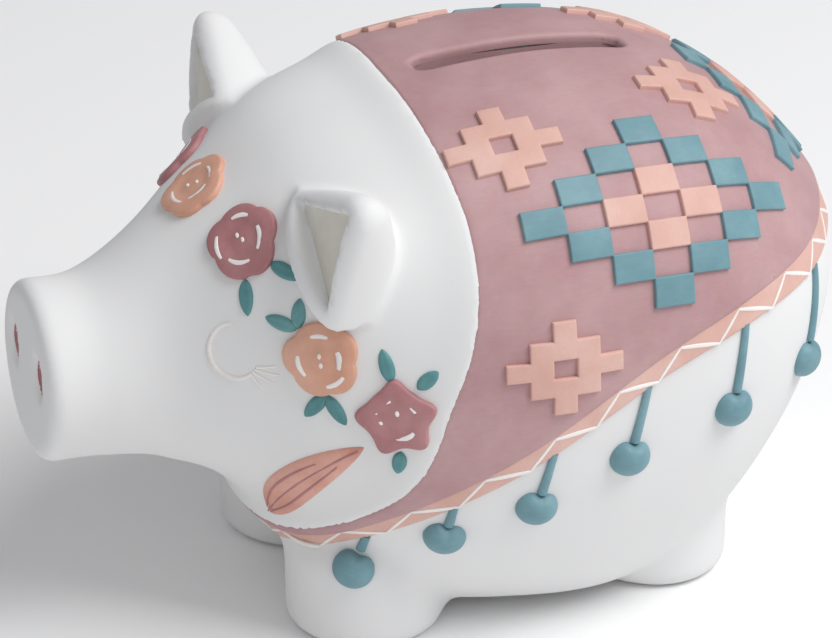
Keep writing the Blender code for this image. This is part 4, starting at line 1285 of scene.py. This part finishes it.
PATCH_HEIGHT = 0.12
EYE_PLACE = (0.206, 19.0)
EYE_RADIUS = 4.9
EYE_ARC = (92.0, 306.0)
EYE_HALF = 0.5
EYE_LIFT = 0.05
LASH_HALF = 0.32
# Turn on the lid, direction and length of each
LASHES = [(-58, -62, 3.6), (-50, -40, 4.4), (-43, -22, 4.6), (-36, -4, 3.8)]


def eye_lines(side):
    """The lid's arc and the lashes that fan out from its rear end."""
    place = seat(head, *EYE_PLACE)
    turns = np.radians(np.linspace(*EYE_ARC, 40))
    lid = np.column_stack([EYE_RADIUS * np.cos(turns), EYE_RADIUS * 1.05 * np.sin(turns)])
    flat = [(lid, EYE_HALF * brushed(40))]
    for start, way, length in LASHES:
        a, b = math.radians(start), math.radians(way)
        root = np.array([EYE_RADIUS * math.cos(a), EYE_RADIUS * math.sin(a)])
        steps = np.linspace(0.0, length, 9)[:, None]
        bend = np.array([-math.sin(b), math.cos(b)]) * 0.04 * steps ** 2
        lash = root + steps * np.array([math.cos(b), math.sin(b)]) + bend
        flat.append((lash, LASH_HALF * np.linspace(1.0, 0.35, 9)))
    result = []
    for line, half in flat:
        surface, out = drop_flat(line, place, head)
        result.append(mirrored(surface + out * EYE_LIFT, out, half, side))
    return result


for word, side in SIDES:
    eye = strokes(f"eyelid_{word}", eye_lines(side), white_paint, 0.25)
    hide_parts(f"closed_eye_{word}")
    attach(eye, "casting")

nostril_rose = painted("nostril_rose_acrylic", "#A6686C", "#985A60", "#B17579", 0.55, (1.0, 1.0, 1.0), 0.0)


def almond(segments=40, rings=6):
    """A nostril's patch of paint as a flat pattern, pointed at its top and bottom."""
    points = [(0.0, 0.0, PATCH_HEIGHT)]
    for ring in range(1, rings + 1):
        share = ring / rings
        for j in range(segments):
            turn = 2 * math.pi * j / segments
            half = NOSTRIL_HALF[0] * abs(math.cos(turn)) ** 1.25 * math.copysign(1, math.cos(turn))
            height = PATCH_HEIGHT if ring < rings else 0.0
            points.append((half * share, NOSTRIL_HALF[1] * math.sin(turn) * share, height))
    return points, round_faces(segments, rings)


for word, side in SIDES:
    centre = Vector((NOSTRIL_SPACING / 2, along(0.0), SNOUT_WAIST + NOSTRIL_RISE))
    place = Matrix.Translation(centre) @ Matrix.Rotation(math.radians(90), 4, "X")
    piece = laid(f"painted_nostril_{word}", almond(), place, head, nostril_rose, side, 0.0, 0.4)
    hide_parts(f"nostril_{word}")
    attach(piece, "casting")


# ---------------------------------------------------------------------------------------------------------
# Ear linings: the flat floor of each ear's hollow, painted warm cream up to its walls.

LINING_HEIGHT = 0.25
LINING_CLEAR = 0.15

cream_paint = painted("warm_cream_acrylic", "#D9D6CB", "#D1CDC2", "#E0DDD4", 0.6, (1.0, 0.4, 1.0), 0.3)


def lining(side, rows=24, columns=12):
    """The floor of the hollow, in the ear's own axes."""
    points = []
    reach = EAR_HOLLOW_TIP - EAR_HOLLOW_BASE
    for i in range(rows + 1):
        v = EAR_HOLLOW_BASE + LINING_CLEAR + (reach - 0.5) * i / rows
        half = max(EAR_HOLLOW_HALF * (1 - (v - EAR_HOLLOW_BASE) / reach) - LINING_CLEAR, 0.05)
        for j in range(columns + 1):
            points.append((half * (2 * j / columns - 1), v, EAR_HOLLOW_FLOOR))
    row = columns + 1
    faces = [(i * row + j, i * row + j + 1, (i + 1) * row + j + 1, (i + 1) * row + j)
             for i in range(rows) for j in range(columns)]
    points = np.array([ear_frame @ Vector(p) for p in points])
    out = np.broadcast_to(np.array(ear_frame.to_3x3().col[2]), points.shape)
    return mirrored_solid(*thicken(points, out, np.full(len(points), LINING_HEIGHT), faces, 0.5), side)


for word, side in SIDES:
    piece = add_mesh(f"painted_ear_lining_{word}", *lining(side))
    piece.data.materials.append(cream_paint)
    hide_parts(f"ear_lining_{word}")
    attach(piece, "casting")


# ---------------------------------------------------------------------------------------------------------
# Tail: a curl that lies flat on the rump, cast in one with the body and left white.

TAIL_DROP = 3.0
TAIL_RADII = (2.4, 6.2)
TAIL_TURNS = 1.25
TAIL_HALF = 1.5
TAIL_LIFT = 0.7

tail_place = seat(torso, 0.5, 90.0, 90.0, long_way=(-1, 0, 0), height=WAIST - TAIL_DROP)
turns = np.linspace(0.0, 2 * math.pi * TAIL_TURNS, 60)
radii = np.linspace(*TAIL_RADII, 60)
tail_flat = np.column_stack([radii * np.cos(turns), radii * np.sin(turns)])
tail_line, tail_out = drop_flat(tail_flat, tail_place, torso)
tail_half = TAIL_HALF * np.interp(np.linspace(0, 1, 60), [0, 0.1, 0.8, 1], [0.35, 0.7, 1.0, 1.05])
tail_curl = (tail_line + tail_out * TAIL_LIFT, tail_out, tail_half)
tail = strokes("curled_tail_relief", [tail_curl], white_coat, 0.1, 20)
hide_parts("curled_tail")
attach(tail, "casting")


# ---------------------------------------------------------------------------------------------------------
# Stopper: a soft rubber plug pressed into the belly, with a thin flange, two gripping ribs and a finger
# hollow in its underside. It is moulded in one piece, and its skin is dull with a faint grain.

STOPPER_STEPS = 96
AXIS_RADIUS = 0.01
stopper_low, stopper_high = [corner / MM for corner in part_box("belly_stopper")]
flange_radius = (stopper_high.x - stopper_low.x) / 2
PLUG_RADIUS = HOLE_RADIUS - 0.3
RIB_DEPTH = 0.7
FLANGE = 1.7
FINGER_RADIUS = 7.0
FINGER_DEPTH = 1.0


def arc(centre, radius, start, end, count=5):
    """Points on an arc, in degrees."""
    return [(centre[0] + radius * math.cos(math.radians(a)), centre[1] + radius * math.sin(math.radians(a)))
            for a in np.linspace(start, end, count)]


def stopper_outline():
    """Radius and height round the stopper, from the middle of its top to the middle of its underside."""
    low, top = stopper_low.z, stopper_high.z
    seat_line = low + FLANGE
    rib = (top - seat_line) / 4
    outline = [(0.0, top - 0.6), (PLUG_RADIUS - 3.0, top - 0.6), (PLUG_RADIUS - 2.4, top)]
    for middle in (top - rib, top - 2.9 * rib):
        outline += [(PLUG_RADIUS - RIB_DEPTH, middle + 0.9 * rib)]
        outline += arc((PLUG_RADIUS - 0.5, middle), 0.5, 70, -70)
    outline += [(PLUG_RADIUS - RIB_DEPTH, seat_line), (flange_radius - 0.5, seat_line)]
    outline += arc((flange_radius - 0.5, seat_line - 0.5), 0.5, 80, 0)
    outline += arc((flange_radius - 0.6, low + 0.6), 0.6, 0, -90)
    outline += [(FINGER_RADIUS + 0.8, low), (FINGER_RADIUS, low + 0.25)]
    return outline + [(FINGER_RADIUS - 1.5, low + FINGER_DEPTH), (0.0, low + FINGER_DEPTH)]


def lathe_tree():
    """A tree that turns a profile drawn in radius and height once round Z."""
    tree = node_group("turned_plug", [("Steps", "NodeSocketInt"), ("Paint", "NodeSocketMaterial")])
    given = add_node(tree, "NodeGroupInput")
    profile = add_node(tree, "GeometryNodeMeshToCurve", {"Mesh": given.outputs["Geometry"]})
    circle = add_node(tree, "GeometryNodeCurvePrimitiveCircle", {
        "Resolution": given.outputs["Steps"], "Radius": AXIS_RADIUS * MM})
    solid = add_node(tree, "GeometryNodeCurveToMesh", {"Curve": circle, "Profile Curve": profile})
    merged = add_node(tree, "GeometryNodeMergeByDistance", {
        "Geometry": solid, "Distance": 3 * AXIS_RADIUS * MM})
    return end_tree(tree, merged, given.outputs["Paint"])


# Soft grey rubber: dull, slightly waxy, with a fine moulded grain and dust in it
rubber, rubber_tree, rubber_shader = new_material("soft_grey_rubber")
rubber_place = add_node(rubber_tree, "ShaderNodeTexCoord").outputs["Object"]
dust = noise(rubber_tree, rubber_place, 3.0, 5.0)
dusted = add_node(rubber_tree, "ShaderNodeMix", {
    "Factor": dust, 6: srgb("#A9A9AC"), 7: srgb("#BDBDBF")}, data_type="RGBA")
rubber_tree.links.new(dusted.outputs[2], rubber_shader.inputs["Base Color"])
rubber_bump = add_node(rubber_tree, "ShaderNodeBump", {
    "Height": noise(rubber_tree, rubber_place, 0.4, 3.0), "Strength": 0.4, "Distance": 0.06 * MM})
rubber_tree.links.new(rubber_bump.outputs["Normal"], rubber_shader.inputs["Normal"])
rubber_shader.inputs["Roughness"].default_value = 0.72
rubber_shader.inputs["IOR"].default_value = 1.52

plug_profile = bpy.data.meshes.new("plug_profile")
plug_points = stopper_outline()
plug_edges = [(i, i + 1) for i in range(len(plug_points) - 1)]
plug_profile.from_pydata([(r * MM, -z * MM, 0.0) for r, z in plug_points], plug_edges, [])
plug = add_object("belly_plug", plug_profile)
run_tree(plug, lathe_tree(), {"Steps": STOPPER_STEPS, "Paint": rubber})
weld(plug, 0.02, (0.0, along(HOLE_SHARE) * MM, 0.0))
plug.data.shade_smooth()
plug.data.set_sharp_from_angle(angle=math.radians(50.0))
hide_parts("belly_stopper")
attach(plug, "stopper")


# ---------------------------------------------------------------------------------------------------------
# Studio: a flat pale floor, a large soft light high behind the pig's left side, a weak one beside the camera,
# and a camera above the pig's left shoulder.

FLOOR_SIZE = 6.0
SKY_STRENGTH = 0.40
KEY_PLACE = (0.40, 0.50, 0.95)
FILL_PLACE = (1.0, -0.3, 0.45)
LIGHT_AIM = (0.0, 0.0, 0.05)
CAMERA_AZIMUTH = 70.0
CAMERA_ELEVATION = 27.0
CAMERA_DISTANCE = 0.830
CAMERA_TARGET = Vector((0.0, -0.002, 0.0495))

floor_mesh = bpy.data.meshes.new("studio_floor")
corners = [(x * FLOOR_SIZE, y * FLOOR_SIZE, 0.0) for x, y in ((-1, -1), (1, -1), (1, 1), (-1, 1))]
floor_mesh.from_pydata(corners, [], [(0, 1, 2, 3)])
floor = add_object("studio_floor", floor_mesh)
paper, _, paper_shader = new_material("white_paper_sweep")
paper_shader.inputs["Base Color"].default_value = srgb("#FDFDFD")
paper_shader.inputs["Roughness"].default_value = 0.9
floor.data.materials.append(paper)

bpy.context.scene.view_settings.view_transform = "Standard"
world = bpy.data.worlds.new("studio")
bpy.context.scene.world = world
world.use_nodes = True
world.node_tree.nodes["Background"].inputs["Color"].default_value = srgb("#F6F7FA")
world.node_tree.nodes["Background"].inputs["Strength"].default_value = SKY_STRENGTH


def add_light(name, place, size, watts):
    """A square white soft box aimed at the pig, in metres."""
    light = bpy.data.lights.new(name, "AREA")
    light.shape = "SQUARE"
    light.size = size
    light.energy = watts
    obj = add_object(name, light)
    obj.location = place
    obj.rotation_euler = (Vector(LIGHT_AIM) - Vector(place)).to_track_quat("-Z", "Y").to_euler()


add_light("key_soft_box", KEY_PLACE, 0.7, 9.5)
add_light("fill_soft_box", FILL_PLACE, 0.9, 1.0)

azimuth, elevation = math.radians(CAMERA_AZIMUTH), math.radians(CAMERA_ELEVATION)
level = math.cos(elevation)
towards = Vector((math.sin(azimuth) * level, -math.cos(azimuth) * level, math.sin(elevation)))
camera_data = bpy.data.cameras.new("camera")
camera_data.lens = 190.4
camera_data.sensor_width = 36.0
camera = add_object("camera", camera_data)
camera.location = CAMERA_TARGET + towards * CAMERA_DISTANCE
camera.rotation_euler = (-towards).to_track_quat("-Z", "Y").to_euler()
bpy.context.scene.camera = camera
